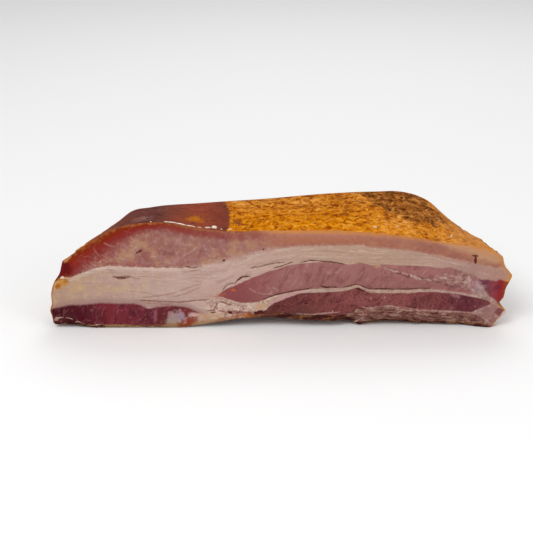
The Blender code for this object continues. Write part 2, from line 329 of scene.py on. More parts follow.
CORNER_CRUST = Outline((
    (-120, -4), (-120, 6), (-114.8, 5.7), (-111.1, 5), (-107, 4.9), (-104.1, 3.6), (-100.6, 3),
    (-96, 2.4), (-88, 1.4), (-84, -4),
))
DRIED_RIM = Outline((
    (28, -4), (31.9, 5.6), (35.4, 7.8), (39.4, 9.4), (43.4, 10.9), (47.4, 11.7), (51.4, 11.9),
    (56.5, 11.5), (60.5, 10.4), (70.7, 8.7), (86.9, 8.2), (97, 7.2), (101.9, 5), (104.9, 2.8),
    (107, -4),
))
PINK_BAND_TOP = Line((
    (-20, 60), (40, 56), (70, 50), (77.8, 45.8), (82.3, 43.6), (88.8, 41.5), (92.7, 40.3), (96, 38.4),
    (99, 34.5),
))
FLECK_STREAK = Line((
    (47, 33.6), (51.6, 32.6), (55.7, 30.9), (60.7, 29.3), (66.8, 27.5), (74.8, 26.3), (82, 25.3),
    (92.9, 24.4), (97, 22.8), (101.2, 20.1), (105.5, 16.4),
))
# Edge of the bare lean on the smoked side, as stations (y, x).
BARE_LEAN_EDGE = Line(((-31, -26.4), (-20, -25.6), (-8, -25.4), (3, -26.4), (14, -28), (31, -30)))
# The toasted patch on the smoked side, by its corners (x, y).
TOASTED_PATCH = Outline((
    (40, 34), (44.5, 20), (50, 7.5), (55.5, -2), (58.5, -6.5), (64, -9.5), (70.5, -11.5), (77.5, -8),
    (84, -2), (87, 8.5), (84, 14), (80, 18), (77, 24), (75, 34),
))

TRACES = (
    # The gap over the main muscle, in overlapping lengths.
    Trace((
        (-29.6, 19.2), (-27.7, 22), (-26.2, 23.5), (-24.4, 24.2), (-21.9, 24.6), (-20.9, 26.1),
        (-19, 27.4), (-16, 28.1), (-12.6, 27.9),
    ), 0.18, 0.7, 0, 0.5),
    Trace(((-22.2, 24.6), (-20.8, 26.2), (-18.9, 27.4), (-14.8, 28.2)), 0.32, 0.8, 1, 1, 1.8),
    Trace((
        (-15.7, 31.6), (-14.1, 32.5), (-12.5, 33), (-9.8, 33.1), (-7.5, 33.9), (-3.3, 34.7),
        (3.4, 35.4),
    ), 0.18, 0.72, 0, 0.7),
    Trace(((-4.5, 32), (0.5, 33.1), (3.5, 34.3), (5, 35.1), (7.6, 35.5)), 0.2, 0.75, 1, 0.7),
    Trace((
        (8.4, 35), (11.8, 35.4), (14.9, 36.2), (19.4, 36), (25.1, 35.5), (29.3, 34.8), (34.3, 34),
    ), 0.2, 0.78, 1, 0.9, 4),
    Trace(((12.5, 35.6), (14.9, 36.2), (19.8, 36)), 0.26, 0.8, 0, 0.5, 2.5),
    # The gap under the main muscle.
    Trace((
        (-9.6, 14.7), (-5.2, 16.7), (-2.1, 17.8), (2.5, 18.8), (8.2, 20.1), (13.9, 21), (17, 21.9),
    ), 0.22, 0.85, 0, 0.8),
    Trace(((19.6, 23.4), (22, 21.9), (23.5, 21.9), (29.4, 22.1)), 0.28, 0.95, 1, 1, 2),
    Trace((
        (30.2, 21.9), (33, 22.3), (36.8, 22.6), (39.9, 22.1), (43.3, 21.9), (45.7, 21.4), (49.1, 21.2),
        (57.6, 20.8), (63.6, 20.7), (69.1, 21), (76.5, 21.1),
    ), 0.21, 0.75, 0, 0.9),
    Trace(((46, 21.3), (51, 21.1), (57, 20.9)), 0.26, 0.85, 1, 0.6, 2.5),
    Trace(((37.6, 20.3), (40.1, 20), (42.5, 19.8)), 0.42, 0.85, 1, 0.6, 1.2),
    # The pocket in the white fat, and the fine lines about it.
    Trace((
        (-84.6, 26.8), (-80.7, 26.3), (-77.7, 26.5), (-74.7, 27.3), (-72.6, 27.4),
    ), 0.72, 0.6, 0, 1.2, 4.5),
    Trace(((-83, 26.5), (-80, 26.1), (-76, 26.3)), 0.25, 0.85, 1, 0, 2),
    Trace(((-75.2, 27.1), (-71.8, 26.5), (-68.9, 26.1)), 0.3, 0.45, 1, 0.3, 2),
    Trace(((-72.7, 27.3), (-64.7, 27.4), (-56.5, 27.3)), 0.18, 0.28),
    Trace(((-88, 30.1), (-84.5, 30), (-81, 30.2)), 0.24, 0.28, 0, 0.2, 2),
    Trace(((-92.2, 20.5), (-89, 20.8), (-86.5, 21.6), (-84.2, 23.4)), 0.22, 0.26),
    Trace(((-77, 19.1), (-74.6, 19.1), (-71.3, 20)), 0.26, 0.34, 1, 0.2, 2),
    Trace(((-71.6, 19.3), (-67.6, 19), (-64.6, 18.2), (-61.2, 16.3)), 0.22, 0.36, 0, 0.2),
    Trace((
        (-70.8, 16.2), (-65.1, 16.6), (-58.2, 17.6), (-50.8, 20.1), (-43.5, 23), (-37.5, 24.8),
    ), 0.24, 0.42, 1, 0.3, 5),
    Trace(((-55.6, 16.6), (-52.1, 17.2), (-46.7, 19), (-42, 21.3), (-38, 23.1)), 0.24, 0.4, 0, 0.3, 5),
    Trace((
        (-73.4, 14.8), (-65, 14.6), (-57.7, 14.4), (-50.1, 14.1), (-46.5, 14.5), (-43.6, 15.1),
        (-36.4, 15.5), (-33.9, 16.5),
    ), 0.32, 0.58, 0, 0.3, 5),
    Trace(((-69, 13.3), (-60.2, 12.9), (-55.1, 12.5)), 0.26, 0.42),
    Trace(((-65, 32.7), (-57.7, 32.9), (-47, 33)), 0.18, 0.42),
    Trace(((-47.6, 33.7), (-43.3, 32.9), (-40.4, 33.4)), 0.34, 0.66, 1, 0.4, 1.6),
    Trace(((-41.4, 30.7), (-32.8, 30.6), (-24.2, 31.5)), 0.18, 0.32),
    Trace(((-38, 26.2), (-32.9, 27.2), (-28.3, 27.9)), 0.18, 0.28, 1),
    Trace(((-66, 24.2), (-58, 24.5), (-49, 24)), 0.16, 0.2),
    Trace(((-52, 29.2), (-44, 29), (-37, 29.4)), 0.16, 0.2, 1),
    Trace(((8, 40.6), (18, 41.6), (30, 41.3)), 0.16, 0.18),
    Trace(((-71.4, 39.6), (-69.7, 40.6), (-68, 41.7)), 0.42, 0.8, 0, 0.4, 1),
    # Cracks in the soft fat along the foot.
    Trace((
        (-37.2, 9.3), (-33.4, 9.5), (-32.2, 11.3), (-31.8, 13), (-30.3, 14), (-28.3, 14), (-26.4, 13),
        (-23.4, 12.4),
    ), 0.3, 0.62, 0, 0.6, 2),
    Trace(((-35.2, 8.3), (-33.6, 8.2), (-31.8, 8.7)), 0.34, 0.75, 1, 0.4, 1),
    Trace(((-27.8, 14.7), (-23.5, 13.4), (-19.4, 11.6)), 0.2, 0.42, 1, 0.3),
    Trace(((-22.2, 8), (-19.6, 8.8)), 0.4, 0.66, 0, 0.4, 0.8),
    Trace(((-13.4, 7.9), (-9.5, 8.2), (-6.6, 8.5)), 0.8, 1, 0, 1.2, 1.2),
    Trace(((-45, 5.5), (-43, 5.6), (-40.8, 5.8)), 0.36, 0.6, 0, 0.4, 1.2),
    # The hollow along the foot of the lower muscle.
    Trace(((2, 5.4), (12, 5.2), (20, 5.4), (31, 5.8)), 0.9, 0, 0, 0.8, 4),
    # Veins of the upper muscle.
    thread(((-87.5, 45), (-84.4, 43.4), (-80.4, 42.6)), 0.3, 0.5),
    thread(((-82.9, 42), (-79.7, 38.7), (-77.8, 36.8), (-75.2, 35.2)), 0.3, 0.36, 1),
    thread(((-80.4, 36.9), (-76.3, 36), (-73, 36.5)), 0.34, 0.46),
    thread(((-64.9, 37.9), (-62.1, 38.2), (-59.4, 39.2)), 0.42, 0.7),
    thread(((-52.3, 49.6), (-49.4, 46.1), (-46.4, 44.7), (-42.4, 44.1)), 0.26, 0.52),
    thread(((-48.9, 38.2), (-45.3, 40.6), (-43.1, 41.9), (-39.4, 44.8)), 0.34, 0.62, 1),
    thread(((-53.9, 38.6), (-52.4, 36.3), (-52.3, 33.6)), 0.34, 0.5),
    thread(((-52.8, 36), (-50.5, 37.7), (-49.6, 39.2)), 0.26, 0.42, 1),
    thread(((-38.2, 42.6), (-34.1, 42.4), (-30.2, 42.3)), 0.42, 0.42),
    thread(((-28.9, 43.2), (-27.2, 41.1), (-24.6, 39)), 0.3, 0.5, 1),
    thread(((-38.8, 39.2), (-35.7, 37.2), (-29.4, 36.8)), 0.34, 0.42),
    thread(((-92.4, 42.8), (-91, 39.5), (-88.4, 36.6)), 0.34, 0.36),
    thread(((-98.5, 36.4), (-95, 37.2), (-92.6, 36)), 0.3, 0.36, 1),
    thread(((-70.4, 35.4), (-64.5, 34.5), (-59.4, 35.4)), 0.3, 0.36, 1),
    thread(((-59.8, 45.2), (-57, 42), (-52.5, 41.2)), 0.26, 0.32, 1),
    thread(((-65.5, 44), (-62, 46.5), (-58.4, 47.6)), 0.26, 0.3),
    # Threads of membrane and bright rims of fat.
    thread((
        (-77, 32), (-69.6, 31.8), (-59.6, 32), (-49.7, 31.9), (-39.7, 32.3), (-32.8, 33.2),
    ), 0.46, 0.62, 0, 8),
    thread((
        (-28.4, 20.6), (-25.9, 22.4), (-22.9, 23.3), (-19.9, 24.8), (-16.9, 26.2), (-13.9, 27),
    ), 0.36, 0.8),
    thread(((-15.5, 29.2), (-10.9, 30.1), (-6.9, 31.5), (-2, 33.1), (3.8, 34.2)), 0.42, 0.62, 1),
    thread(((-17.5, 30.6), (-12, 31.6), (-6, 32.6)), 0.26, 0.5),
    thread(((-16.4, 22.7), (-13, 20.1), (-8.8, 18.6), (-2.2, 18.5)), 0.16, 0.5),
    thread(((-6.4, 23.6), (-4.2, 20), (-3, 16.6)), 0.16, 0.42, 1),
    thread(((-5.6, 22.6), (-1.8, 21.2), (0.6, 19.3)), 0.14, 0.35),
    thread((
        (7, 7.8), (12.7, 7.1), (16.2, 7.2), (19.7, 7.5), (24.7, 8.1), (29.2, 8.4), (31, 9.2),
    ), 0.22, 0.7),
    thread((
        (40, 10), (43.6, 11.4), (47.4, 12.1), (51.4, 12.3), (56.5, 12), (60.5, 11), (70.7, 9.3),
        (86.9, 8.7), (98, 7.6),
    ), 0.28, 0.6, 0, 6),
    thread(((-36, 12.6), (-31, 15.2), (-25, 14.9), (-20, 12.9)), 0.36, 0.62, 1),
    thread(((-30.6, 11.8), (-26.5, 11), (-20.5, 10.2)), 0.5, 0.6),
    thread(((-67.9, 11.2), (-66.2, 10.9), (-63.4, 10.9)), 0.45, 0.6, 0, 2),
    thread(((-46.6, 6.8), (-43.2, 6.6), (-40.2, 5.4)), 0.4, 0.6, 0, 2),
    thread(((76, 20.3), (82, 20.1), (90.4, 18.6), (98, 16.8), (104.6, 14.6)), 0.3, 0.62, 1),
    thread(((93.4, 28.6), (94.6, 25.2), (94.6, 21.4), (97.6, 19)), 0.55, 0.5),
    thread(((95.6, 24), (98.4, 22.6), (101.4, 19.8)), 0.42, 0.5, 1),
    thread(((51, 33.4), (53.2, 31.6), (55.4, 31.6)), 0.26, 0.7, 1, 1),
    thread(((54.5, 31.9), (56.5, 30.6), (59, 30.5)), 0.26, 0.75, 0, 1.5),
    thread(((60, 29.9), (62, 29.6), (64, 28.4)), 0.26, 0.8, 0, 1.5),
    thread(((64.4, 29.3), (65, 28.2), (66.8, 27.7), (68.6, 26.8), (71, 26.1)), 0.46, 0.9, 1, 1.5),
    thread(((72.6, 26.5), (74.4, 25.7), (76.4, 26.2), (79.4, 25.6)), 0.4, 0.85, 0, 1.5),
    thread(((78.6, 27.4), (80.6, 26.8), (82.2, 27.4), (83.2, 25.9)), 0.36, 0.85, 1, 1.5),
    thread(((85, 28.2), (87.2, 27.3), (90.8, 27)), 0.28, 0.75, 0, 1.5),
    thread(((85.8, 25.4), (88, 24.9), (92.6, 24.6), (94.4, 22.8)), 0.34, 0.8, 1, 1.5),
    # Dark gaps beside the flecks.
    Trace(((60, 29.3), (62, 28.2), (63.6, 27.3), (65.4, 27)), 0.26, 0.6, 0, 0, 1.5),
    Trace(((67.8, 28.4), (70, 27.3), (72, 26.3)), 0.26, 0.55, 1, 0, 1.5),
    Trace(((74.4, 26.8), (76.8, 25.5), (81.3, 24.2)), 0.26, 0.6, 0, 0, 1.5),
    Trace(((83.8, 25.2), (85.2, 25.5), (88.2, 25.3)), 0.26, 0.6, 1, 0, 1.5),
    thread(((45.7, 17.2), (45.6, 15.6)), 0.26, 0.8, 1, 0.8),
    thread(((52.5, 17.5), (52.6, 16.4)), 0.22, 0.7, 0, 0.8),
    thread(((26.4, 9.6), (26.8, 8.4)), 0.22, 0.6, 1, 0.8),
)
# Small vessels and pits: x, z, half length, half height, turn in degrees, tone.
PITS = (
    (-27.8, 36.4, 0.85, 0.5, 25, 0.85), (-8.2, 42.3, 0.65, 0.42, 0, 0.8),
    (13.2, 13.4, 1.0, 0.62, 12, 1.0), (78.2, 15.9, 0.6, 0.6, 0, 0.75),
    (-25.0, 8.2, 1.0, 0.85, 5, 0.9), (96.7, 36.5, 0.62, 2.7, 3, 0.85),
    (96.4, 38.9, 1.7, 0.62, -6, 0.75), (73.9, 43.6, 1.1, 0.42, -4, 0.5),
)


# ---------------------------------------------------------------------------------------
# The form of the piece
# ---------------------------------------------------------------------------------------


@dataclass
class BellyShape:
    """The form of the piece, as a block whose rows follow its layers of fat and lean.

    A point of the block is named by three values: its share of the length, its share of the
    depth from the front cut to the back cut, and its layer, from 0 on the rib side to 5 on
    the smoked side.
    """

    depth_left: float = 49.0
    depth_right: float = 62.0
    taper_left: float = 13.0
    taper_right: float = 14.0
    crown: float = 1.6
    cut_edge: float = 1.3
    foot_reach: float = 0.9
    top_edge: float = 1.5
    foot_edge: float = 0.8
    end_bulge: float = 1.6
    end_bump: float = 1.3
    end_grain: float = 13.0
    left_mark: float = -112.0
    right_mark: float = 109.0
    layers_drift: float = 0.035
    shoulder_dips: tuple[Triple, ...] = ((0.93, 0.12, 1.6), (0.08, 0.07, 0.8))
    ripples: tuple[Triple, ...] = (
        (9.0, 0.55, 1.0), (28.0, 0.8, 5.0), (3.4, 0.35, 9.0),
    )
    heel_lift: float = 1.2
    undercut: float = 3.2
    undercut_height: float = 7.0
    undercut_end: float = 110.0
    rim_start: float = 28.0
    lean_step: float = 0.7
    swells: tuple[tuple[float, float, float, float, float], ...] = (
        (38, 2.5, 72, 0.5, 0.9), (48, 0.55, 56, 0.5, 0.7), (-78, 0.5, 38, 0.5, 0.6),
        (-66, 4.5, 50, 0.6, -0.5),
    )
    centre: Array = field(default_factory=lambda: np.zeros(3))

    def __post_init__(self) -> None:
        """Finds the middle of the length, from which the outlines on the cut are measured."""
        grids = np.meshgrid(np.linspace(0, SKIN_LAYER, 81), np.linspace(0, 1, 9))
        layers, shares = (grid.ravel() for grid in grids)
        left, right = self.row_ends(layers, shares)
        self.centre[0] = (left.min() + right.max()) / 2

    def front_height(self, layer: Array, x: Array) -> Array:
        """Returns the height on the front cut of a row, at each x."""
        below = np.clip(np.floor(layer).astype(int), 0, len(LAYER_LINES) - 2)
        heights = np.array([height(x) for height in LAYER_LINES])
        place = np.arange(len(x))
        return mix(heights[below, place], heights[below + 1, place], layer - below)

    def row_ends(self, layer: Array, depth_share: Array) -> Array:
        """Returns the left and right x of each row, at each share of the depth."""
        return once(self.work_out_row_ends, layer, depth_share)

    def work_out_row_ends(self, layer: Array, depth_share: Array) -> Array:
        """Works out the left and right x of each row.

        Args:
            layer: Layer of each point.
            depth_share: Share of the way from the front cut to the back cut.

        Returns:
            The x of the left end and of the right end.
        """
        left_z, right_z = (
            self.front_height(layer, np.full_like(layer, mark))
            for mark in (self.left_mark, self.right_mark)
        )
        bulge = self.end_bulge * 4 * depth_share * (1 - depth_share)
        away = self.depth_right * depth_share
        bumpy = self.end_bump * ease(depth_share * 6)
        left_bump = bumpy * uneven(0 * away, away, left_z, self.end_grain, 3.0)
        right_bump = bumpy * uneven(0 * away, away, right_z, self.end_grain, 8.0)
        left = -LEFT_END(left_z) + self.taper_left * depth_share - bulge - left_bump
        right = RIGHT_END(right_z) - self.taper_right * depth_share + bulge + right_bump
        left += rounding(self.top_edge, FRONT_TOP(self.left_mark) - left_z)
        left += rounding(self.foot_edge, left_z - FRONT_BOTTOM(self.left_mark))
        right -= rounding(self.top_edge, FRONT_TOP(self.right_mark) - right_z)
        right -= rounding(self.foot_edge, right_z - FRONT_BOTTOM(self.right_mark))
        return np.stack([left, right])

    def top_height(self, along: Array, depth_share: Array) -> Array:
        """Returns the height of the smoked side."""
        layer = np.full_like(along, SKIN_LAYER)
        front_x = mix(*self.row_ends(layer, np.zeros_like(along)), along)
        back_x = mix(*self.row_ends(layer, np.ones_like(along)), along)
        x = mix(front_x, back_x, depth_share)
        level = mix(self.front_height(layer, front_x), BACK_TOP(back_x), depth_share)
        inside = ease(depth_share * 7) * ease((1 - depth_share) * 7)
        crown = self.crown * 4 * depth_share * (1 - depth_share) * ease(along / 0.2)
        crown = crown * ease((1 - along) / 0.3)
        for middle, half_width, dip in self.shoulder_dips:
            crown = crown - dip * np.sin(np.pi * depth_share) * ease(
                1 - abs(along - middle) / half_width
            )
        ripple = sum(
            rise * uneven(x, self.depth_right * depth_share, 0 * x, width, seed)
            for width, rise, seed in self.ripples
        )
        bare = ease((BARE_LEAN_EDGE(self.depth_right * (depth_share - 0.5)) - x) / 3.0)
        return level + crown + inside * (ripple - self.lean_step * bare)

    def bottom_height(self, along: Array, depth_share: Array) -> Array:
        """Returns the height of the rib side, flat where the piece's weight presses it."""
        layer = np.zeros_like(along)
        front_x = mix(*self.row_ends(layer, np.zeros_like(along)), along)
        x = mix(*self.row_ends(layer, depth_share), along)
        settled = ease(depth_share / 0.2)
        lifted = self.heel_lift * ease((depth_share - 0.86) / 0.14)
        return mix(self.front_height(layer, front_x), UNDERSIDE(x), settled) + lifted

    def tissue_place(self, along: Array, depth_share: Array, layer: Array) -> tuple[Array, Array]:
        """Gives the place on the front cut where the same tissue surfaces.

        Args:
            along: Share of the length.
            depth_share: Share of the depth.
            layer: Layer.

        Returns:
            The x and z on the front cut.
        """
        moved = np.clip(along + self.layers_drift * depth_share, 0, 1)
        x = mix(*self.row_ends(layer, np.zeros_like(along)), moved)
        return x, self.front_height(layer, x)

    def layer_share(self, layer: Array, along: Array, depth_share: Array) -> Array:
        """Returns the share of the piece's height at which a row lies."""
        x, height = self.tissue_place(along, depth_share, layer)
        low = FRONT_BOTTOM(x)
        return (height - low) / (FRONT_TOP(x) - low)

    def depth_at(self, x: Array) -> Array:
        """Returns the distance between the two cuts."""
        share = (x - self.left_mark) / (self.right_mark - self.left_mark)
        return mix(self.depth_left, self.depth_right, share)

    def cut_relief(self, u: Array, w: Array, layer: Array, back: Array) -> Array:
        """Gives how far a cut face stands out.

        Args:
            u: Tissue place along the front cut.
            w: Tissue height on the front cut.
            layer: Layer.
            back: 1 on the back cut and 0 on the front cut.

        Returns:
            The swell of the muscles less the gaping seams.
        """
        cut = self.depth_left * back
        out = 0.25 * uneven(u, cut, w, 16.0, 2.0)
        x = u - self.centre[0]
        flecks = fleck_share(x, w)
        dried = ease((DRIED_RIM.inside(x, w) + 0.6) / 1.6) * ease((x - self.rim_start) / 6)
        out = out + uneven(u, cut, w, 3.2, 6.0) * (0.5 * flecks)
        out = out + uneven(u * 0.35, cut, w, 1.7, 6.5) * 0.75 * dried + 0.5 * dried
        crust = ease((CORNER_CRUST.inside(x, w) + 0.5) / 1.5)
        out = out + (0.3 + 0.7 * uneven(u * 0.5, cut, w, 2.2, 7.5)) * crust
        for middle, middle_layer, half_length, half_height, rise in self.swells:
            reach = ((u - middle) / half_length) ** 2 + ((layer - middle_layer) / half_height) ** 2
            out = out + rise * np.clip(1 - reach, 0, 1)
        ragged = 0.8 + 0.5 * uneven(u, cut, 0 * u, 5.0, 4.0)
        for trace in TRACES:
            if trace.depth:
                side, opening = trace.measure(x, w)
                reach = max(trace.half_width * 1.2, 0.45)
                out = out - 0.55 * trace.depth * ragged * opening * np.exp(-((side / reach) ** 2))
        return out

    def place(self, along: Array, depth_share: Array, layer: Array) -> Array:
        """Returns the place of each point of the block, in millimetres, before it is centred."""
        left, right = self.row_ends(layer, depth_share)
        x = mix(left, right, along)
        low = once(self.bottom_height, along, depth_share)
        high = once(self.top_height, along, depth_share)
        z = mix(low, high, self.layer_share(layer, along, depth_share))
        depth = self.depth_at(x)
        y = self.cut_edge + depth_share * (depth - 2 * self.cut_edge)
        rim = np.minimum(
            np.minimum(z - low + self.foot_reach, high - z), np.minimum(x - left, right - x)
        )
        on_cut = (depth_share == 0) | (depth_share == 1)
        relief = np.zeros_like(x)
        u, w = self.tissue_place(along[on_cut], depth_share[on_cut], layer[on_cut])
        relief[on_cut] = self.cut_relief(u, w, layer[on_cut], depth_share[on_cut])
        relief = relief * ease(rim / 1.6)
        front_y = rounding(self.cut_edge, rim) - relief
        back_y = depth - rounding(self.cut_edge, rim) + relief
        y = np.where(depth_share == 0, front_y, np.where(depth_share == 1, back_y, y))
        tucked = self.undercut * (1 - ease((z - low) / self.undercut_height))
        tucked = tucked * ease((x - self.rim_start + 4) / 14) * ease((self.undercut_end - x) / 22)
        y = y + tucked * (1 - ease(depth_share / 0.15))
        return np.stack([x, y, np.maximum(z, 0)], axis=-1)

    def top_points(self, x: Array, y: Array) -> Array:
        """Gives points on the smoked side.

        Args:
            x: Places along the length, from the middle of the piece.
            y: Places in depth, from the middle of the piece.

        Returns:
            The points, centred, in millimetres.
        """
        layer = np.full_like(x, SKIN_LAYER)
        share = (y + self.centre[1] - self.cut_edge) / (self.depth_at(x) - 2 * self.cut_edge)
        share = np.clip(share, 0.002, 0.998)
        left, right = self.row_ends(layer, share)
        along = np.clip((x + self.centre[0] - left) / (right - left), 0, 1)
        return self.place(along, share, layer) - self.centre

    def front_point(self, x: float, z: float) -> Vector:
        """Gives a point on the front cut.

        Args:
            x: Place along the length, from the middle of the piece.
            z: Height.

        Returns:
            The point, centred, in millimetres.
        """
        u = np.full(1, x + self.centre[0])
        heights = [float(line(u)[0]) for line in LAYER_LINES]
        layer = np.array([np.interp(z, heights, range(len(heights)))])
        left, right = self.row_ends(layer, np.zeros(1))
        return Vector(self.place((u - left) / (right - left), np.zeros(1), layer)[0] - self.centre)


def fleck_share(x: Array, w: Array) -> Array:
    """Returns how thickly pale flecks lie in the main muscle, from 0 to 1."""
    side = FLECK_STREAK.above(x, w)
    width = 0.9 + 2.4 * ease((x - 70) / 22)
    streak = np.exp(-((side / width) ** 2)) * ease((x - 46) / 8) * ease((107 - x) / 6)
    knot = np.exp(-(((x - 88) / 7.0) ** 2) - ((w - 27.6) / 3.2) ** 2)
    return np.clip(streak * (0.7 + 0.3 * ease((x - 66) / 20)) + 0.8 * knot, 0, 1)


@dataclass
class TissueMap:
    """Which tissue lies where, as signed distances that the finishes read."""

    shape: BellyShape
    # How far round a trace its width is stored, and the distance that stands for none near.
    reach: float = 1.25
    far: float = 9.0

    def fields(self, along: Array, depth_share: Array, layer: Array, places: Array) -> dict[str, Array]:
        """Works out every field of the map.

        Args:
            along: Share of the length of each point.
            depth_share: Share of the depth.
            layer: Layer.
            places: Place of each point, in millimetres, before it is centred.

        Returns:
            The fields by the name under which the mesh stores them.
        """
        u, w = self.shape.tissue_place(along, depth_share, layer)
        left, right = self.shape.row_ends(layer, np.zeros_like(along))
        x = u - self.shape.centre[0]
        top_x, top_y = places[:, 0] - self.shape.centre[0], places[:, 1] - self.shape.centre[1]
        bare = np.minimum(BARE_LEAN_EDGE(top_y) - top_x, (top_x + 98) * 0.5)
        return {
            # At the left end the fat runs out lower than its layer.
            "above_fat": WHITE_FAT_TOP.above(u, w) + 2.7 * ease((-84 - u) / 22),
            "main_lean": MAIN_LEAN.inside(x, w),
            "foot_left": FOOT_LEAN_LEFT.inside(x, w),
            "foot_right": FOOT_LEAN_RIGHT.inside(x, w),
            "end_lean": np.maximum(RIGHT_BLOCK.inside(x, w), RIGHT_NUB.inside(x, w)),
            "lens": LEFT_LENS.inside(x, w),
            "dried": np.maximum(DRIED_RIM.inside(x, w), CORNER_CRUST.inside(x, w)),
            "flecks": fleck_share(x, w),
            "pink_band": -PINK_BAND_TOP.above(x, w),
            "to_skin": -FRONT_TOP.above(u, w),
            "to_foot": w - FRONT_BOTTOM(u),
            "to_end": np.minimum(u - left, right - u),
            "tissue_x": x,
            "layer": layer,
            "bare_lean": bare,
            "toast": TOASTED_PATCH.inside(top_x, top_y),
            **self.trace_fields(x, w),
        }

    def trace_fields(self, x: Array, w: Array) -> dict[str, Array]:
        """Works out the fields of the traces.

        Args:
            x: Tissue place along the front cut, from the middle of the piece.
            w: Tissue height on the front cut.

        Returns:
            For each kind of mark and strand: the signed distance to the middle of the
            nearest trace, its half width there and its tone.
        """
        fields: dict[str, Array] = {}
        for mark in Mark:
            for strand in (0, 1):
                side, width, tone = np.full_like(x, self.far), np.zeros_like(x), np.zeros_like(x)
                best = np.full_like(x, 1e9)
                for trace in TRACES:
                    if (trace.mark, trace.strand) != (mark, strand):
                        continue
                    across, opening = trace.measure(x, w)
                    nearer = abs(across) < best
                    best = np.where(nearer, abs(across), best)
                    side = np.where(nearer, np.clip(across, -self.far, self.far), side)
                    near = abs(across) < self.reach + trace.half_width
                    width = np.where(nearer, trace.half_width * opening * near, width)
                    tone = np.where(nearer, trace.tone, tone)
                name = f"{mark.value}_{strand}"
                fields |= {f"{name}_side": side, f"{name}_width": width, f"{name}_tone": tone}
        return fields


# ---------------------------------------------------------------------------------------
# Node graphs and the shared effects
# ---------------------------------------------------------------------------------------


def tint(red: int, green: int, blue: int) -> Colour:
    """Returns the linear pigment whose lit look is a red, green and blue of 0 to 255."""
    linear = [
        c / 12.92 if c <= 0.04045 else ((c + 0.055) / 1.055) ** 2.4
        for c in (red / 255, green / 255, blue / 255)
    ]
    return (*(max(c / GAIN - SHEEN, DARKEST) for c in linear), 1.0)


def stops(*rows: tuple[float, int, int, int]) -> Stops:
    """Returns the stops of a ramp from rows of a place and the red, green and blue there."""
    return tuple((place, tint(*colour)) for place, *colour in rows)


@dataclass(frozen=True)
class Field:
    """A value, vector or colour that varies over the surface: one output of a node."""

    graph: "Graph"
    socket: bpy.types.NodeSocket

    def math(self, operation: str, *others: "Value") -> "Field":
        """Returns the outcome of a Math node on this value and others."""
        return self.graph.value("ShaderNodeMath", dict(enumerate((self, *others))), operation=operation)

    def __add__(self, other: "Value") -> "Field":
        """Returns the sum."""
        return self.math("ADD", other)

    def __sub__(self, other: "Value") -> "Field":
        """Returns the difference."""
        return self.math("SUBTRACT", other)

    def __mul__(self, other: "Value") -> "Field":
        """Returns the product."""
        return self.math("MULTIPLY", other)

    def __truediv__(self, other: "Value") -> "Field":
        """Returns the quotient."""
        return self.math("DIVIDE", other)

    def __abs__(self) -> "Field":
        """Returns the value without its sign."""
        return self.math("ABSOLUTE")

    def waver(self, reach: float) -> "Field":
        """Returns noise of 0 to 1 as a swing from -reach to reach."""
        return self.math("MULTIPLY_ADD", 2 * reach, -reach)

    def step(self, low: "Value", high: "Value", top: float = 1.0, bottom: float = 0.0) -> "Field":
        """Returns a smooth step from bottom, at low, to top, at high."""
        ends = {"From Min": low, "From Max": high, "To Min": bottom, "To Max": top}
        return self.graph.value(
            "ShaderNodeMapRange", {"Value": self, **ends}, "Result", interpolation_type="SMOOTHSTEP"
        )

    def ramp(self, marks: Stops) -> "Field":
        """Gives the colour of a value between stops.

        Args:
            marks: The place and the colour of each stop, from low to high.

        Returns:
            The colour.
        """
        start, span = marks[0][0], marks[-1][0] - marks[0][0]
        share = self.math("MULTIPLY_ADD", 1 / span, -start / span)
        node = self.graph.add("ShaderNodeValToRGB", {0: share})
        elements = node.color_ramp.elements
        while len(elements) < len(marks):
            elements.new(0.5)
        for element, (place, colour) in zip(elements, marks):
            element.position = (place - start) / span
            element.color = colour
        return Field(self.graph, node.outputs["Color"])

    def axes(self) -> tuple["Field", ...]:
        """Returns the X, Y and Z of a vector."""
        outputs = self.graph.add("ShaderNodeSeparateXYZ", {0: self}).outputs
        return tuple(Field(self.graph, output) for output in outputs)

    def vector(self, operation: str, inputs: dict[str | int, "Value"]) -> "Field":
        """Returns the outcome of a Vector Math node on this vector and further inputs."""
        return self.graph.value("ShaderNodeVectorMath", {0: self, **inputs}, operation=operation)

    def stretch(self, scale: Triple, turn: float = 0.0) -> "Field":
        """Returns the vector turned about Y, in degrees, and then scaled."""
        around = {"Vector": self, "Angle": math.radians(turn)}
        turned = self.graph.value("ShaderNodeVectorRotate", around, rotation_type="Y_AXIS")
        return turned.vector("MULTIPLY", {1: scale})

    def noise(
        self, scale: "Value", detail: float = 2.0, roughness: float = 0.5, distortion: float = 0.0,
        output: str | int = 0,
    ) -> "Field":
        """Gives noise at the places of a vector.

        Args:
            scale: Bumps a millimetre.
            detail: Number of finer rounds.
            roughness: How strong the finer rounds are.
            distortion: How far the noise is dragged about.
            output: The output that is used.

        Returns:
            Values of about 0 to 1.
        """
        inputs = {
            "Vector": self, "Scale": scale, "Detail": detail, "Roughness": roughness,
            "Distortion": distortion,
        }
        return self.graph.value("ShaderNodeTexNoise", inputs, output)

    def warp(self, scale: float, reach: "Value") -> "Field":
        """Returns the vector bent by noise of a scale, by up to about half the reach."""
        bend = self.noise(scale, 3.0, output="Color").vector("SUBTRACT", {1: (0.5, 0.5, 0.5)})
        return self.vector("ADD", {1: bend.vector("SCALE", {"Scale": reach})})

    def effect(self, effect: "Effect", **inputs: "Value") -> "Field":
        """Returns the mask of a shared effect at the places of a vector, from its inputs."""
        return self.graph.value("ShaderNodeGroup", {"Vector": self, **inputs}, node_tree=effect.tree())


Value = Field | float | tuple[float, ...]
Fields = dict[str, Field]
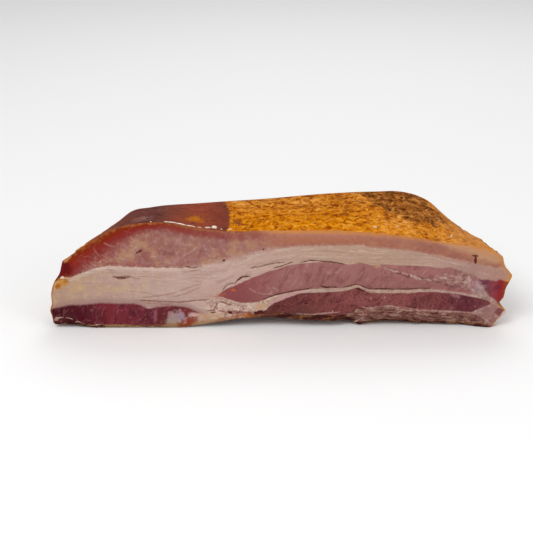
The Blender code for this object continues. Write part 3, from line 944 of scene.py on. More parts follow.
# The colour, the roughness, the relief's height and how tall a height of 1 is, in millimetres.
Look = tuple[Value, Value, Value, float]


@dataclass
class Graph:
    """Lays out the nodes of one material or shader group."""

    tree: bpy.types.NodeTree

    def add(self, kind: str, inputs: dict[str | int, Value], **settings: object) -> bpy.types.Node:
        """Adds a node.

        Args:
            kind: The node's Blender type.
            inputs: What feeds each input: a field, or a value.
            **settings: The node's own settings.

        Returns:
            The node.
        """
        node = self.tree.nodes.new(kind)
        for name, setting in settings.items():
            setattr(node, name, setting)
        for key, value in inputs.items():
            self.feed(node.inputs[key], value)
        return node

    def feed(self, socket: bpy.types.NodeSocket, value: Value) -> None:
        """Links a field into a socket, or sets its value."""
        if isinstance(value, Field):
            self.tree.links.new(value.socket, socket)
        else:
            socket.default_value = value

    def value(
        self, kind: str, inputs: dict[str | int, Value], output: str | int = 0, **settings: object
    ) -> Field:
        """Adds a node, as add does, and returns one of its outputs."""
        return Field(self, self.add(kind, inputs, **settings).outputs[output])

    def attribute(self, name: str) -> Field:
        """Returns a distance or share that the tissue map stored."""
        return self.value("ShaderNodeAttribute", {}, "Fac", attribute_name=name)

    @cached_property
    def here(self) -> Field:
        """The place on the piece, in millimetres."""
        return self.value("ShaderNodeTexCoord", {}, "Object").vector("SCALE", {"Scale": 1 / MM})

    @cached_property
    def x(self) -> Field:
        """The tissue's place along the cut, in millimetres."""
        return self.attribute("tissue_x")

    def edge(self, name: str, ragged: float, grain: float, softness: Value) -> Field:
        """Returns the mask inside a tissue's edge, from how ragged, fine and soft the edge is."""
        inputs = {"Distance": self.attribute(name), "Ragged": ragged, "Grain": grain}
        return self.here.effect(Effect.TISSUE_EDGE, Softness=softness, **inputs)


def coated(colour: Value, *coats: tuple[Field, Value]) -> Field:
    """Returns a colour after further coats, each given as its mask and its colour."""
    for mask, coat in coats:
        colour = mask.graph.value("ShaderNodeMix", {0: mask, 6: colour, 7: coat}, 2, data_type="RGBA")
    return colour


def widest(first: Field, *others: Field) -> Field:
    """Returns the greatest of several values."""
    for other in others:
        first = first.math("MAXIMUM", other)
    return first


def tissue_edge(given: Fields) -> Field:
    """Returns a mask that is 1 where a ragged signed distance is positive."""
    wavering = given["Vector"].noise(given["Grain"], 3.0, 0.6).waver(1.0) * given["Ragged"]
    return ((wavering + given["Distance"]) / given["Softness"]).step(-1.0, 1.0)


def marbling(given: Fields) -> Field:
    """Returns a mask of a broken network of fat veins."""
    bent = given["Vector"].warp(0.2, given["Wander"] * 14.0)
    inputs = {"Vector": bent, "Scale": given["Scale"]}
    cells = bent.graph.value("ShaderNodeTexVoronoi", inputs, "Distance", feature="DISTANCE_TO_EDGE")
    broken = given["Vector"].noise(0.15, 3.0, 0.6).step(0.46, 0.66)
    return (cells / given["Width"]).step(1.0, 0.0) * broken


def mottle(given: Fields) -> Field:
    """Returns soft blotches."""
    return given["Vector"].noise(given["Scale"], 4.0, 0.6, 0.4).step(given["Low"], given["High"])


def trace_line(given: Fields) -> Field:
    """Gives the mask of a thin wandering line.

    Args:
        given: The signed distance to the line's middle as Side, and its Width, Tone, Wander
            and Softness.

    Returns:
        The mask, as strong as the tone.
    """
    side = given["Vector"].noise(0.7, 3.0, 0.65).waver(1.0) * given["Wander"] + given["Side"]
    width = given["Width"] * given["Vector"].noise(0.4).step(0.32, 0.6, 1.25, 0.45)
    edge = (width - abs(side)).step(given["Softness"] * -1.0, given["Softness"] * 0.4)
    return edge * given["Width"].step(0.0, 0.12) * given["Tone"]


def pit(given: Fields) -> Field:
    """Gives the mask of one small oval mark on the front half of the piece.

    Args:
        given: The mark's middle as X and Z, its half Length and Height, its Turn in radians,
            and how Ragged and Soft its edge is.

    Returns:
        The mask.
    """
    x, y, z = given["Vector"].axes()
    run, rise = x - given["X"], z - given["Z"]
    sine, cosine = given["Turn"].math("SINE"), given["Turn"].math("COSINE")
    long = (run * cosine + rise * sine) / given["Length"]
    tall = (rise * cosine - run * sine) / given["Height"]
    far = (long * long + tall * tall).math("SQRT") + given["Ragged"]
    inside = far.step(given["Soft"] + 1.0, given["Soft"] * -1.0 + 1.0)
    return inside * y.math("LESS_THAN", 0.0)


def wet_glint(given: Fields) -> Field:
    """Returns a roughness that breaks a wet sheen into small patches."""
    grains = given["Vector"].noise(1.3, 3.0, 0.6) + given["Vector"].noise(0.22)
    return grains * 0.36 + 0.22 - given["Wetness"] * 0.16


class Effect(Enum):
    """The effects that several finishes share: each one's maker and its inputs."""

    TISSUE_EDGE = (tissue_edge, {"Distance": 0.0, "Ragged": 0.6, "Grain": 0.5, "Softness": 0.3})
    MARBLING = (marbling, {"Scale": 0.1, "Width": 0.06, "Wander": 1.0})
    MOTTLE = (mottle, {"Scale": 0.2, "Low": 0.4, "High": 0.6})
    TRACE = (trace_line, {"Side": 9.0, "Width": 0.0, "Tone": 0.0, "Wander": 0.3, "Softness": 0.2})
    PIT = (pit, dict.fromkeys(("X", "Z", "Length", "Height", "Turn", "Ragged", "Soft"), 0.0))
    GLINT = (wet_glint, {"Wetness": 0.5})

    def tree(self) -> bpy.types.NodeTree:
        """Finds the effect's group, or builds it at its first use.

        Returns:
            The group, with a vector and numbers as its inputs and a mask as its output.
        """
        maker, numbers = self.value
        name = maker.__name__
        if name in bpy.data.node_groups:
            return bpy.data.node_groups[name]
        tree = bpy.data.node_groups.new(name, "ShaderNodeTree")
        tree.interface.new_socket("Vector", in_out="INPUT", socket_type="NodeSocketVector")
        for label, number in numbers.items():
            socket = tree.interface.new_socket(label, in_out="INPUT", socket_type="NodeSocketFloat")
            socket.default_value = number
        tree.interface.new_socket("Mask", in_out="OUTPUT", socket_type="NodeSocketFloat")
        graph = Graph(tree)
        outputs = graph.add("NodeGroupInput", {}).outputs
        given = {label: Field(graph, outputs[label]) for label in ("Vector", *numbers)}
        graph.add("NodeGroupOutput", {0: maker(given)})
        return tree


# ---------------------------------------------------------------------------------------
# The finishes
# ---------------------------------------------------------------------------------------


@dataclass(frozen=True)
class Finish:
    """A finish of the piece: its name and the values that its shader keeps all over."""

    name: str
    specular: float = 0.1
    coat: float = 0.0
    coat_roughness: float = 0.2

    def material(self) -> bpy.types.Material:
        """Makes the material.

        Returns:
            The material, with its colour, roughness and relief laid out.
        """
        made = bpy.data.materials.new(self.name)
        made.use_nodes = True
        graph = Graph(made.node_tree)
        shader = made.node_tree.nodes["Principled BSDF"]
        shader.inputs["Metallic"].default_value = 0.0
        shader.inputs["Specular IOR Level"].default_value = self.specular
        shader.inputs["Coat Weight"].default_value = self.coat
        shader.inputs["Coat Roughness"].default_value = self.coat_roughness
        colour, roughness, height, reach = self.layers(graph)
        graph.feed(shader.inputs["Base Color"], colour)
        graph.feed(shader.inputs["Roughness"], roughness)
        bump = {"Height": height, "Distance": reach * MM, "Strength": 1.0}
        graph.feed(shader.inputs["Normal"], graph.value("ShaderNodeBump", bump))
        return made

    def layers(self, graph: Graph) -> Look:
        """Lays out the finish.

        Args:
            graph: The material's graph.

        Returns:
            The look.
        """
        raise NotImplementedError


@dataclass(frozen=True)
class Spot:
    """A small oval mark: its middle, half sizes, turn in degrees, share and colour."""

    x: float
    z: float
    length: float
    height: float
    turn: float
    share: float
    colour: Colour = tint(0, 0, 0)

    def mask(self, place: Field, ragged: Field, soft: float = 0.5) -> Field:
        """Gives the mark's mask, as strong as its share.

        Args:
            place: The place on the face.
            ragged: How far the edge strays, in half sizes.
            soft: How soft the edge is, in half sizes.

        Returns:
            The mask.
        """
        shape = {"X": self.x, "Z": self.z, "Length": self.length, "Height": self.height}
        turn = math.radians(self.turn)
        return place.effect(Effect.PIT, Turn=turn, Ragged=ragged, Soft=soft, **shape) * self.share


def spot_rows(*rows: tuple[float, ...]) -> tuple[Spot, ...]:
    """Returns the spots of rows that end with the red, green and blue of their look."""
    return tuple(Spot(*row[:6], tint(*row[6:])) for row in rows)


@dataclass(frozen=True)
class CutMeat(Finish):
    """The two cut faces: fat, lean, seams, dried rim and smoked edge."""

    # The tints of the fat and of the foot's lean, by the place along the cut.
    fat: Stops = stops(
        (-112, 172, 138, 114), (-90, 176, 145, 132), (-60, 184, 155, 144), (-30, 188, 158, 148),
        (10, 180, 150, 133), (45, 174, 144, 122), (75, 173, 139, 124), (98, 162, 124, 116),
        (113, 166, 122, 106),
    )
    foot: Stops = stops(
        (-114, 60, 10, 24), (-98, 80, 18, 29), (-86, 116, 41, 48), (-66, 108, 40, 52),
        (-52, 108, 42, 46), (-38, 120, 58, 54), (-8, 98, 54, 50), (12, 110, 56, 54), (36, 132, 74, 72),
        (60, 136, 78, 76), (84, 112, 58, 60), (94, 96, 42, 54), (106, 112, 56, 56),
    )
    band: Stops = stops(
        (0, 194, 130, 74), (1.1, 182, 124, 94), (2.4, 170, 112, 92), (4.6, 166, 106, 80),
        (7.4, 156, 100, 84), (9, 162, 116, 104),
    )
    spots: tuple[Spot, ...] = spot_rows(
        (-109.2, 24.4, 3.8, 2, 38, 0.8, 190, 126, 20), (-110.8, 22.6, 1.2, 1, 30, 0.8, 152, 84, 14),
        (-106.6, 25.4, 1.5, 0.8, 20, 0.7, 146, 102, 44),
        (-108.2, 26.4, 1.2, 0.6, 10, 0.7, 164, 110, 30),
        (-105.8, 37.2, 2.4, 1.1, 36, 0.85, 186, 126, 76), (-107, 37.4, 1, 0.6, 30, 0.8, 132, 62, 20),
        # The near-white spot at (-108.4, 27.2), just under the dark lens, is a painted highlight.
        (-108.4, 27.2, 0.9, 0.7, 0, 0.9, 236, 212, 186), (-101, 22, 4, 2.6, 20, 0.35, 196, 164, 104),
        (-86, 21, 5, 1.8, -10, 0.3, 192, 164, 116), (-77, 22.6, 3.4, 1.2, 30, 0.3, 196, 170, 124),
        (-52.2, 5.2, 4.6, 3.6, 0, 0.8, 152, 126, 130), (-55.2, 8, 1.6, 1.2, 0, 0.7, 168, 118, 110),
        (-50.2, 6.4, 1.8, 2, 0, 0.6, 150, 122, 142), (-54.6, 3.6, 2.8, 1.4, 10, 0.7, 158, 138, 120),
        (-50.2, 9.4, 0.8, 0.9, 0, 0.6, 176, 130, 130), (-54, 1.2, 5.6, 1.1, 0, 0.8, 150, 110, 76),
        (-47.6, 1.8, 3.8, 1.6, 4, 0.85, 132, 62, 32), (-44.8, 3.4, 4.2, 2, 12, 0.9, 136, 44, 22),
        (-42.8, 7.1, 2.6, 0.8, -6, 0.85, 204, 156, 148), (-39.4, 5.8, 1.2, 1.2, 0, 0.7, 206, 166, 142),
        (-60.2, 5.4, 2.4, 3.8, 4, 0.55, 100, 38, 34), (-62.6, 7, 0.8, 3.6, -4, 0.55, 146, 90, 108),
        (-37, 3.2, 7, 1.6, 12, 0.7, 168, 128, 96), (-9.6, 11.4, 3.4, 1.8, 24, 0.7, 188, 146, 112),
        (-34, 6, 6, 2.2, 10, 0.6, 184, 146, 110), (-21.8, 8.2, 7, 0.9, -4, 0.75, 132, 66, 62),
        (-15.4, 6.6, 5, 1, 4, 0.9, 164, 86, 24), (-27, 5, 6, 0.8, 10, 0.7, 150, 92, 58),
        (112.6, 7.2, 1, 2.6, -34, 0.9, 226, 204, 188), (98.6, 22.4, 3.4, 2.2, -30, 0.5, 176, 138, 152),
        (94, 19, 4.2, 1.2, -14, 0.5, 140, 72, 76), (87.6, 17.6, 2, 0.9, -20, 0.5, 160, 118, 126),
        (106, 8, 6, 4.4, 10, 0.62, 133, 86, 88), (107, 3, 2.6, 1.4, 60, 0.6, 126, 76, 76),
        (-23.4, 20.6, 0.9, 0.7, 0, 0.9, 186, 92, 40), (-30, 17.6, 3.6, 1.2, 24, 0.5, 166, 96, 70),
        (12, 9.8, 7, 2.2, 0, 0.6, 96, 60, 56), (-4.6, 7, 3.4, 1.8, 10, 0.7, 96, 52, 40),
        (22, 12, 8, 3, 6, 0.35, 132, 74, 66), (-12, 7, 3, 1.3, 0, 0.5, 74, 40, 34),
        (99.8, 36.4, 1.9, 1.1, 6, 0.45, 146, 96, 80), (48.4, 33.5, 2.4, 1, -8, 0.6, 184, 146, 116),
    )
    muscle: Stops = stops(
        (-106, 132, 54, 52), (-94, 138, 66, 61), (-76, 148, 90, 83), (-52, 151, 104, 93),
        (-28, 153, 103, 94), (-4, 160, 106, 96),
    )
    muscle_tan: Colour = tint(166, 122, 98)
    muscle_dark: Colour = tint(138, 84, 80)
    muscle_lilac: Colour = tint(156, 110, 114)
    vein: Colour = tint(184, 148, 134)
    # The muscle's tint under the smoked edge, by the share of the way that the smoke reaches.
    skin: Stops = stops(
        (0, 150, 84, 40), (0.07, 148, 76, 34), (0.13, 120, 50, 16), (0.19, 128, 38, 6),
        (0.3, 130, 36, 18), (0.4, 134, 42, 30), (0.5, 129, 42, 39), (0.6, 132, 50, 46),
        (0.8, 130, 54, 48), (1, 144, 78, 71),
    )
    embers: Stops = stops((0.38, 112, 44, 14), (0.5, 136, 58, 16), (0.62, 168, 96, 46))
    gold_left: Colour = tint(164, 94, 16)
    gold: Colour = tint(206, 132, 40)
    lens: Colour = tint(108, 18, 0)
    main: Colour = tint(149, 97, 94)
    main_dark: Colour = tint(128, 77, 78)
    main_tip: Colour = tint(132, 68, 70)
    strand: Colour = tint(172, 126, 118)
    fleck: Colour = tint(182, 148, 136)
    fleck_gap: Colour = tint(102, 54, 58)
    fleck_veil: Colour = tint(152, 114, 112)
    block: Stops = stops(
        (99, 110, 66, 74), (103, 114, 56, 68), (106.5, 132, 62, 66), (109.5, 135, 40, 47),
        (111.5, 142, 46, 34), (114, 170, 80, 24),
    )
    dried: Colour = tint(136, 88, 78)
    dried_dark: Colour = tint(64, 34, 32)
    dried_pale: Colour = tint(192, 158, 140)
    foot_crust: Colour = tint(104, 44, 26)
    split_dark: Colour = tint(80, 34, 32)
    split_brown: Colour = tint(136, 82, 68)
    membrane: Colour = tint(196, 164, 150)

    def layers(self, graph: Graph) -> Look:
        """Lays out the cut, from the fat outwards to the splits.

        Args:
            graph: The material's graph.

        Returns:
            The look.
        """
        here = graph.here
        shades = here.noise(0.55, 4, 0.62)
        colour, fat_height = self.fat_layer(graph)
        colour, upper = self.upper_layer(graph, colour)
        colour, lean, fibre = self.lean_layers(graph, colour)
        colour, flecks = self.fleck_layer(graph, colour)
        colour, dry, dry_height = self.dried_layer(graph, colour)
        colour = self.rim_layer(graph, widest(upper, lean), colour)
        colour = self.spot_layer(graph, shades, colour)
        colour, threads = self.membrane_layer(graph, colour)
        colour, split = self.split_layer(graph, shades, colour)
        muscle = widest(lean, upper)
        tissue = fat_height * 0.35 + fibre * muscle * 0.45 + dry_height * dry * 1.5
        height = tissue + flecks * 0.5 + threads * 0.3 - split * 0.5
        shine = here.effect(Effect.GLINT, Wetness=muscle * 0.35 + 0.35)
        return colour, shine + dry * 0.22 + split * 0.2, height, 0.45

    def fat_layer(self, graph: Graph) -> tuple[Field, Field]:
        """Lays the fat under everything.

        Args:
            graph: The material's graph.

        Returns:
            The fat's colour and the height of its grain.
        """
        here, x = graph.here, graph.x
        flow = graph.value(
            "ShaderNodeCombineXYZ",
            {"X": x * 0.085, "Y": here.axes()[1] * 0.1, "Z": graph.attribute("layer") * 8.0},
        )
        streaks = flow.noise(1, 5, 0.64, 0.9)
        grain = here.noise(0.8, 4, 0.62)
        broad = here.noise(0.075, 3, 0.55)
        flakes = here.warp(0.4, 3).noise(0.42, 3, 0.6)
        tufts = here.warp(0.4, 2.4).noise(0.52, 3, 0.6)
        cracks = abs(here.warp(0.3, 3).stretch((0.6, 1, 1.2)).noise(0.26, 2, 0.6) - 0.5)
        bright = graph.attribute("above_fat").step(-3.4, -0.8) * x.step(-22, -40)
        yellowed = x.step(-52, -80) * here.noise(0.17, 3).step(0.52, 0.66)
        lower = graph.attribute("layer").step(3.2, 2.4)
        wispy = x.step(-50, -78)
        level = wispy * -0.6 + 1.0
        seam = x.step(0, 14) * lower
        messy = x.step(-42, -30) * x.step(4, -6) * lower
        colour = coated(
            x.ramp(self.fat),
            (broad.step(0.46, 0.64, 0.35), tint(176, 142, 124)),
            (bright * streaks.step(0.36, 0.56, 0.85, 0.2), tint(208, 184, 170)),
            (yellowed * 0.45, tint(184, 156, 116)),
            (wispy * flakes.step(0.46, 0.34) * 0.6, tint(168, 134, 126)),
            (wispy * flakes.step(0.54, 0.68) * 0.5, tint(192, 168, 140)),
            (level * streaks.step(0.48, 0.34) * 0.5, tint(152, 116, 104)),
            (level * streaks.step(0.52, 0.68) * 0.5, tint(204, 180, 168)),
            (grain.step(0.54, 0.7, 0.4), tint(158, 126, 112)),
            (grain.step(0.46, 0.32, 0.3), tint(202, 178, 164)),
            (messy * grain.step(0.52, 0.64, 0.35), tint(166, 124, 112)),
            (messy * tufts.step(0.46, 0.6, 0.75), tint(216, 192, 172)),
            (messy * tufts.step(0.44, 0.32, 0.6), tint(184, 156, 122)),
            (messy * cracks.step(0.03, 0.004, 0.75), tint(134, 80, 76)),
            (seam * tufts.step(0.48, 0.36, 0.6), tint(140, 110, 112)),
            (seam * tufts.step(0.52, 0.64, 0.5), tint(190, 164, 158)),
        )
        return colour, streaks * 1.2 + grain * 0.7

    def upper_layer(self, graph: Graph, under: Field) -> tuple[Field, Field]:
        """Lays the upper muscle and the pink fat that it runs out into.

        Args:
            graph: The material's graph.
            under: The colour so far.

        Returns:
            The colour and the mask of the upper muscle.
        """
        here, x = graph.here, graph.x
        softness = x.step(-58, -34) * x.step(6, -14) * 1.4 + x.step(-58, -34, 1, 0.5)
        above = graph.edge("above_fat", 1.5, 0.4, softness)
        under_band = graph.edge("pink_band", 1.2, 0.2, 1.9)
        wander = here.noise(0.16, 3).waver(1)
        to_skin = graph.attribute("to_skin")
        muscle_share = (x + wander * 12).step(4, -16)
        band = (to_skin + wander * 0.8).ramp(self.band)
        hues = here.warp(0.12, 8).noise(0.11, 4, 0.6)
        fine = here.noise(0.5, 3, 0.6)
        veins = widest(
            here.effect(Effect.MARBLING, Scale=0.085, Width=0.05) * 0.42,
            here.effect(Effect.MARBLING, Scale=0.19, Width=0.07, Wander=0.7) * 0.26,
        )
        near_skin = to_skin / x.step(-60, -96, 13.5, 5) + wander * 0.2 + fine.waver(0.3)
        red_share = x.step(-16, -70, 1, 0.5)
        muscle = coated(
            x.ramp(self.muscle),
            (hues.step(0.48, 0.62), self.muscle_tan),
            (hues.step(0.48, 0.34), self.muscle_dark),
            (here.noise(0.2, 2).step(0.54, 0.68, 0.5), self.muscle_lilac),
            (fine.step(0.46, 0.3, 0.5), self.muscle_dark),
            (fine.step(0.54, 0.72, 0.45), self.vein),
            (veins, self.vein),
            (near_skin.step(1.08, 0.52) * red_share, near_skin.ramp(self.skin)),
            (veins * 0.35, self.vein),
        )
        mask = above * under_band
        band = coated(
            band,
            (x.step(20, 80, 0.7), tint(148, 96, 84)),
            (hues.step(0.5, 0.64, 0.5), tint(174, 122, 98)),
            (fine.step(0.46, 0.32, 0.4), tint(150, 86, 72)),
            (fine.step(0.54, 0.7, 0.4), tint(182, 130, 104)),
        )
        tone = coated(band, (muscle_share, muscle))
        over_band = coated(tint(174, 134, 120), (x.step(70, 88, 0.8), tint(186, 136, 96)))
        colour = coated(under, (above * 0.85, over_band), (mask, tone))
        return colour, mask * muscle_share

    def lean_layers(self, graph: Graph, under: Field) -> tuple[Field, Field, Field]:
        """Lays the main muscle, the lower muscle and the dark lean at the right end.

        Args:
            graph: The material's graph.
            under: The colour so far.

        Returns:
            The colour, the mask of these muscles and the height of their fibre.
        """
        here, x = graph.here, graph.x
        bent = here.warp(0.07, 12)
        hair = bent.stretch((1, 0.6, 0.26), -34).noise(0.85, 3, 0.6, 0.4)
        shades = bent.stretch((0.7, 0.6, 0.35), -40).noise(0.4, 3, 0.6)
        broad = here.noise(0.1, 3, 0.55)
        crumb = here.noise(1, 2, 0.6)
        crumbly = x.step(-32, -18)
        left = x.step(-44, -56)
        reeds = bent.stretch((1, 0.6, 0.2), 8).noise(0.5, 3, 0.6, 0.4)
        main = coated(
            self.main,
            (broad.step(0.4, 0.64, 0.6), tint(156, 106, 100)),
            (shades.step(0.5, 0.34, 0.8), self.main_dark),
            (hair.step(0.54, 0.7, 0.55), self.strand),
            (hair.step(0.44, 0.3, 0.5), self.main_dark),
            (x.step(4, -24, 0.9), self.main_tip),
            (crumb.step(0.62, 0.78, 0.3), self.strand),
        )
        foot = coated(
            x.ramp(self.foot),
            (shades.step(0.54, 0.38, 0.6), tint(78, 34, 38)),
            (hair.step(0.53, 0.68, 0.45), tint(156, 98, 96)),
            (crumbly * broad.step(0.42, 0.6, 0.3), tint(124, 58, 58)),
            (crumbly * crumb.step(0.48, 0.32, 0.6), tint(66, 28, 32)),
            (crumbly * crumb.step(0.62, 0.76, 0.42), tint(172, 130, 120)),
            (left * reeds.step(0.54, 0.68, 0.28), tint(136, 76, 98)),
            (left * reeds.step(0.46, 0.34, 0.4), tint(70, 18, 28)),
        )
        end = coated(
            x.ramp(self.block),
            (shades.step(0.5, 0.36, 0.5), tint(84, 34, 50)),
            (graph.attribute("layer").step(1.4, 0.9), tint(112, 42, 38)),
        )
        masks = (
            graph.edge("main_lean", 0.35, 0.6, 0.4), graph.edge("foot_left", 0.5, 0.2, 0.7),
            graph.edge("foot_right", 0.5, 0.5, 0.4), graph.edge("end_lean", 0.7, 0.35, 0.5),
        )
        # A mauve fringe lies on the fat just over the left foot's lean, and a pink one further right.
        mauve = graph.attribute("foot_left").step(-3.4, -0.4, 0.6)
        pink = graph.attribute("foot_right").step(-3, -0.6, 0.6) * x.step(20, 6)
        pink = pink * x.step(-8, -2)
        fringes = ((mauve, tint(146, 108, 108)), (pink, tint(188, 140, 142)))
        colour = coated(under, *fringes, *zip(masks, (main, foot, foot, end)))
        return colour, widest(*masks), hair * 0.9 + shades

    def fleck_layer(self, graph: Graph, under: Field) -> tuple[Field, Field]:
        """Lays the pale broken flecks through the main muscle.

        Args:
            graph: The material's graph.
            under: The colour so far.

        Returns:
            The colour and the mask of the flecks.
        """
        share = graph.attribute("flecks")
        slant = graph.here.warp(0.28, 4).stretch((0.6, 0.75, 1.1), 16)
        bits = slant.noise(0.36, 2, 0.6, 0.5)
        ridge = abs(bits - 0.5)
        curls = ridge.step(share * 0.05 + 0.004, 0)
        clumps = (slant.noise(0.5, 3, 0.65) + share * 0.16).step(0.64, 0.76)
        pale = widest(curls, clumps * 0.8) * share.step(0.08, 0.4)
        gaps = slant.noise(0.42, 3, 0.6)
        dark = gaps.step(0.47, 0.38) * share.step(0.2, 0.6) * 0.75
        veil = share.step(0.3, 0.9) * bits.step(0.46, 0.62) * 0.35
        coats = ((veil, self.fleck_veil), (dark, self.fleck_gap), (pale * 0.62, self.fleck))
        return coated(under, *coats), pale

    def dried_layer(self, graph: Graph, under: Field) -> tuple[Field, Field, Field]:
        """Lays the dried, fibrous rim along the foot of the cut, and a dark hem along the foot that is
        partly dried crust and partly painted shade.

        Args:
            graph: The material's graph.
            under: The colour so far.

        Returns:
            The colour, the mask of the dried rim and the height of its fibre.
        """
        here, x = graph.here, graph.x
        dry = graph.edge("dried", 0.8, 0.5, 0.4)
        to_foot = graph.attribute("to_foot")
        fibre = here.warp(0.3, 2.4).stretch((0.26, 0.6, 1.1)).noise(0.8, 5, 0.7)
        crumbs = here.noise(1.2, 3, 0.65)
        near_foot = (crumbs * 2.4 + to_foot).step(3, 1.8)
        crust = coated(
            self.foot_crust,
            (fibre.step(0.52, 0.62), tint(136, 80, 46)),
            (fibre.step(0.46, 0.38), tint(52, 22, 18)),
        )
        rim = coated(
            self.dried,
            (fibre.step(0.47, 0.37), self.dried_dark),
            (fibre.step(0.52, 0.6) * crumbs.step(0.38, 0.56, 1, 0.35), self.dried_pale),
            (crumbs.step(0.44, 0.36) * 0.6, self.dried_dark),
            (near_foot, crust),
        )
        corner = coated(
            tint(88, 34, 38),
            (fibre.step(0.54, 0.6), tint(196, 156, 138)),
            (fibre.step(0.46, 0.4), tint(52, 20, 22)),
        )
        rim = coated(rim, (x.step(-40, -60), corner))
        # Over the rest of the foot a thin hem is dry, khaki under the left lean. Elsewhere the hem is
        # dark: partly dried crust and partly painted shade along the tucked foot, reaching higher from
        # x -8 to 40 over the hollow at the foot of the lower muscle.
        deep = x.step(-8, 4) * x.step(40, 30) * -2.0
        khaki = x.step(-24, -40) * x.step(-96, -80)
        near = crumbs * 1.8 + to_foot + deep - khaki * 0.6
        dry_hem_and_shade = near.step(2.6, 1.5)
        hem_and_shade_tone = coated(
            tint(54, 16, 18),
            (fibre.step(0.5, 0.62, 0.8), tint(150, 104, 66)),
            (khaki * fibre.step(0.42, 0.54, 1, 0.3), tint(158, 124, 84)),
        )
        colour = coated(under, (dry, rim), (dry_hem_and_shade * 0.9, hem_and_shade_tone))
        return colour, widest(dry, dry_hem_and_shade * 0.6), fibre + crumbs

    def rim_layer(self, graph: Graph, muscle: Field, under: Field) -> Field:
        """Lays the smoked rim along the top of the cut and round its ends.

        Args:
            graph: The material's graph.
            muscle: The mask of all muscles.
            under: The colour so far.

        Returns:
            The colour.
        """
        here, x = graph.here, graph.x
        waver = here.noise(0.45, 3, 0.6).waver(0.9)
        to_skin = graph.attribute("to_skin") + waver
        to_end = graph.attribute("to_end") + waver * 0.6
        left = x.step(-66, -90)
        ember = to_skin.step(left * 0.5 + 0.7, 0.2) * x.step(-8, -20)
        ember = ember * here.noise(0.45, 3).step(0.4, 0.56, 0.85, 0.2)
        patchy = here.noise(0.4, 3)
        gold = to_skin.step(1.7, 0.2) * x.step(-10, 4) * patchy.step(0.4, 0.6, 0.85, 0.25)
        embers = here.noise(0.7, 3, 0.6).ramp(self.embers)
        end_tone = coated(self.gold, (x.step(-90, -100), self.gold_left), (muscle, embers))
        lens = graph.edge("lens", 1.6, 0.3, x.step(-107, -101, 2.4, 0.7))
        deep = patchy.step(0.46, 0.6, 0.8)
        right_end = x.step(92, 104) * graph.attribute("layer").step(2.2, 3.2, 1, 0.12)
        glow = to_end.step(5, 0.8) * right_end * muscle.step(0.8, 0.2) * 0.7
        corner = to_skin.step(4, 0.5) * right_end * 0.55
        return coated(
            under,
            (ember, embers),
            (gold, tint(196, 124, 56)),
            (corner, tint(192, 134, 84)),
            (glow, tint(190, 132, 80)),
            (to_end.step(1.4, 0.3, 0.92), end_tone),
            (lens, coated(self.lens, (deep, tint(88, 12, 0)))),
        )

    def spot_layer(self, graph: Graph, shades: Field, under: Field) -> Field:
        """Lays the stains, small patches of other tissue and one small painted highlight under the
        lens.

        Args:
            graph: The material's graph.
            shades: Soft noise that makes their edges ragged.
            under: The colour so far.

        Returns:
            The colour.
        """
        ragged = shades.waver(1.6)
        return coated(under, *((spot.mask(graph.here, ragged), spot.colour) for spot in self.spots))

    def membrane_layer(self, graph: Graph, under: Field) -> tuple[Field, Field]:
        """Lays the pale veins and threads of membrane.

        Args:
            graph: The material's graph.
            under: The colour so far.

        Returns:
            The colour and the mask of the threads.
        """
        mask = widest(*self.trace_masks(graph, Mark.PALE, 0.5, 0.5))
        broken = graph.here.noise(0.6, 3, 0.65).step(0.38, 0.58, 0.95, 0.25)
        broken = broken * graph.attribute("above_fat").step(0, 1.5, 0.6, 1)
        return coated(under, (mask * broken, self.membrane)), mask

    def split_layer(self, graph: Graph, shades: Field, under: Field) -> tuple[Field, Field]:
        """Lays the splits, fine brown lines and small vessels over everything.

        Args:
            graph: The material's graph.
            shades: Soft noise that makes the vessels' edges ragged.
            under: The colour so far.

        Returns:
            The colour and the mask of the marks.
        """
        lines = widest(*self.trace_masks(graph, Mark.DARK, 0.34, 0.2))
        ragged = shades.waver(0.6)
        mark = widest(lines, *(Spot(*row).mask(graph.here, ragged, 0.3) for row in PITS))
        shade = coated(self.split_brown, (mark.step(0.45, 0.85), self.split_dark))
        return coated(under, (mark.step(0, 0.95), shade)), mark

    @staticmethod
    def trace_masks(graph: Graph, mark: Mark, wander: float, softness: float) -> list[Field]:
        """Places the masks of both strands of one kind of trace.

        Args:
            graph: The material's graph.
            mark: The kind of trace.
            wander: How far the lines stray, in millimetres.
            softness: How soft their edges are, in millimetres.

        Returns:
            The two masks.
        """
        masks = []
        for strand in (0, 1):
            name = f"{mark.value}_{strand}"
            parts = ("side", "width", "tone")
            given = {part.capitalize(): graph.attribute(f"{name}_{part}") for part in parts}
            masks.append(graph.here.effect(Effect.TRACE, Wander=wander, Softness=softness, **given))
        return masks


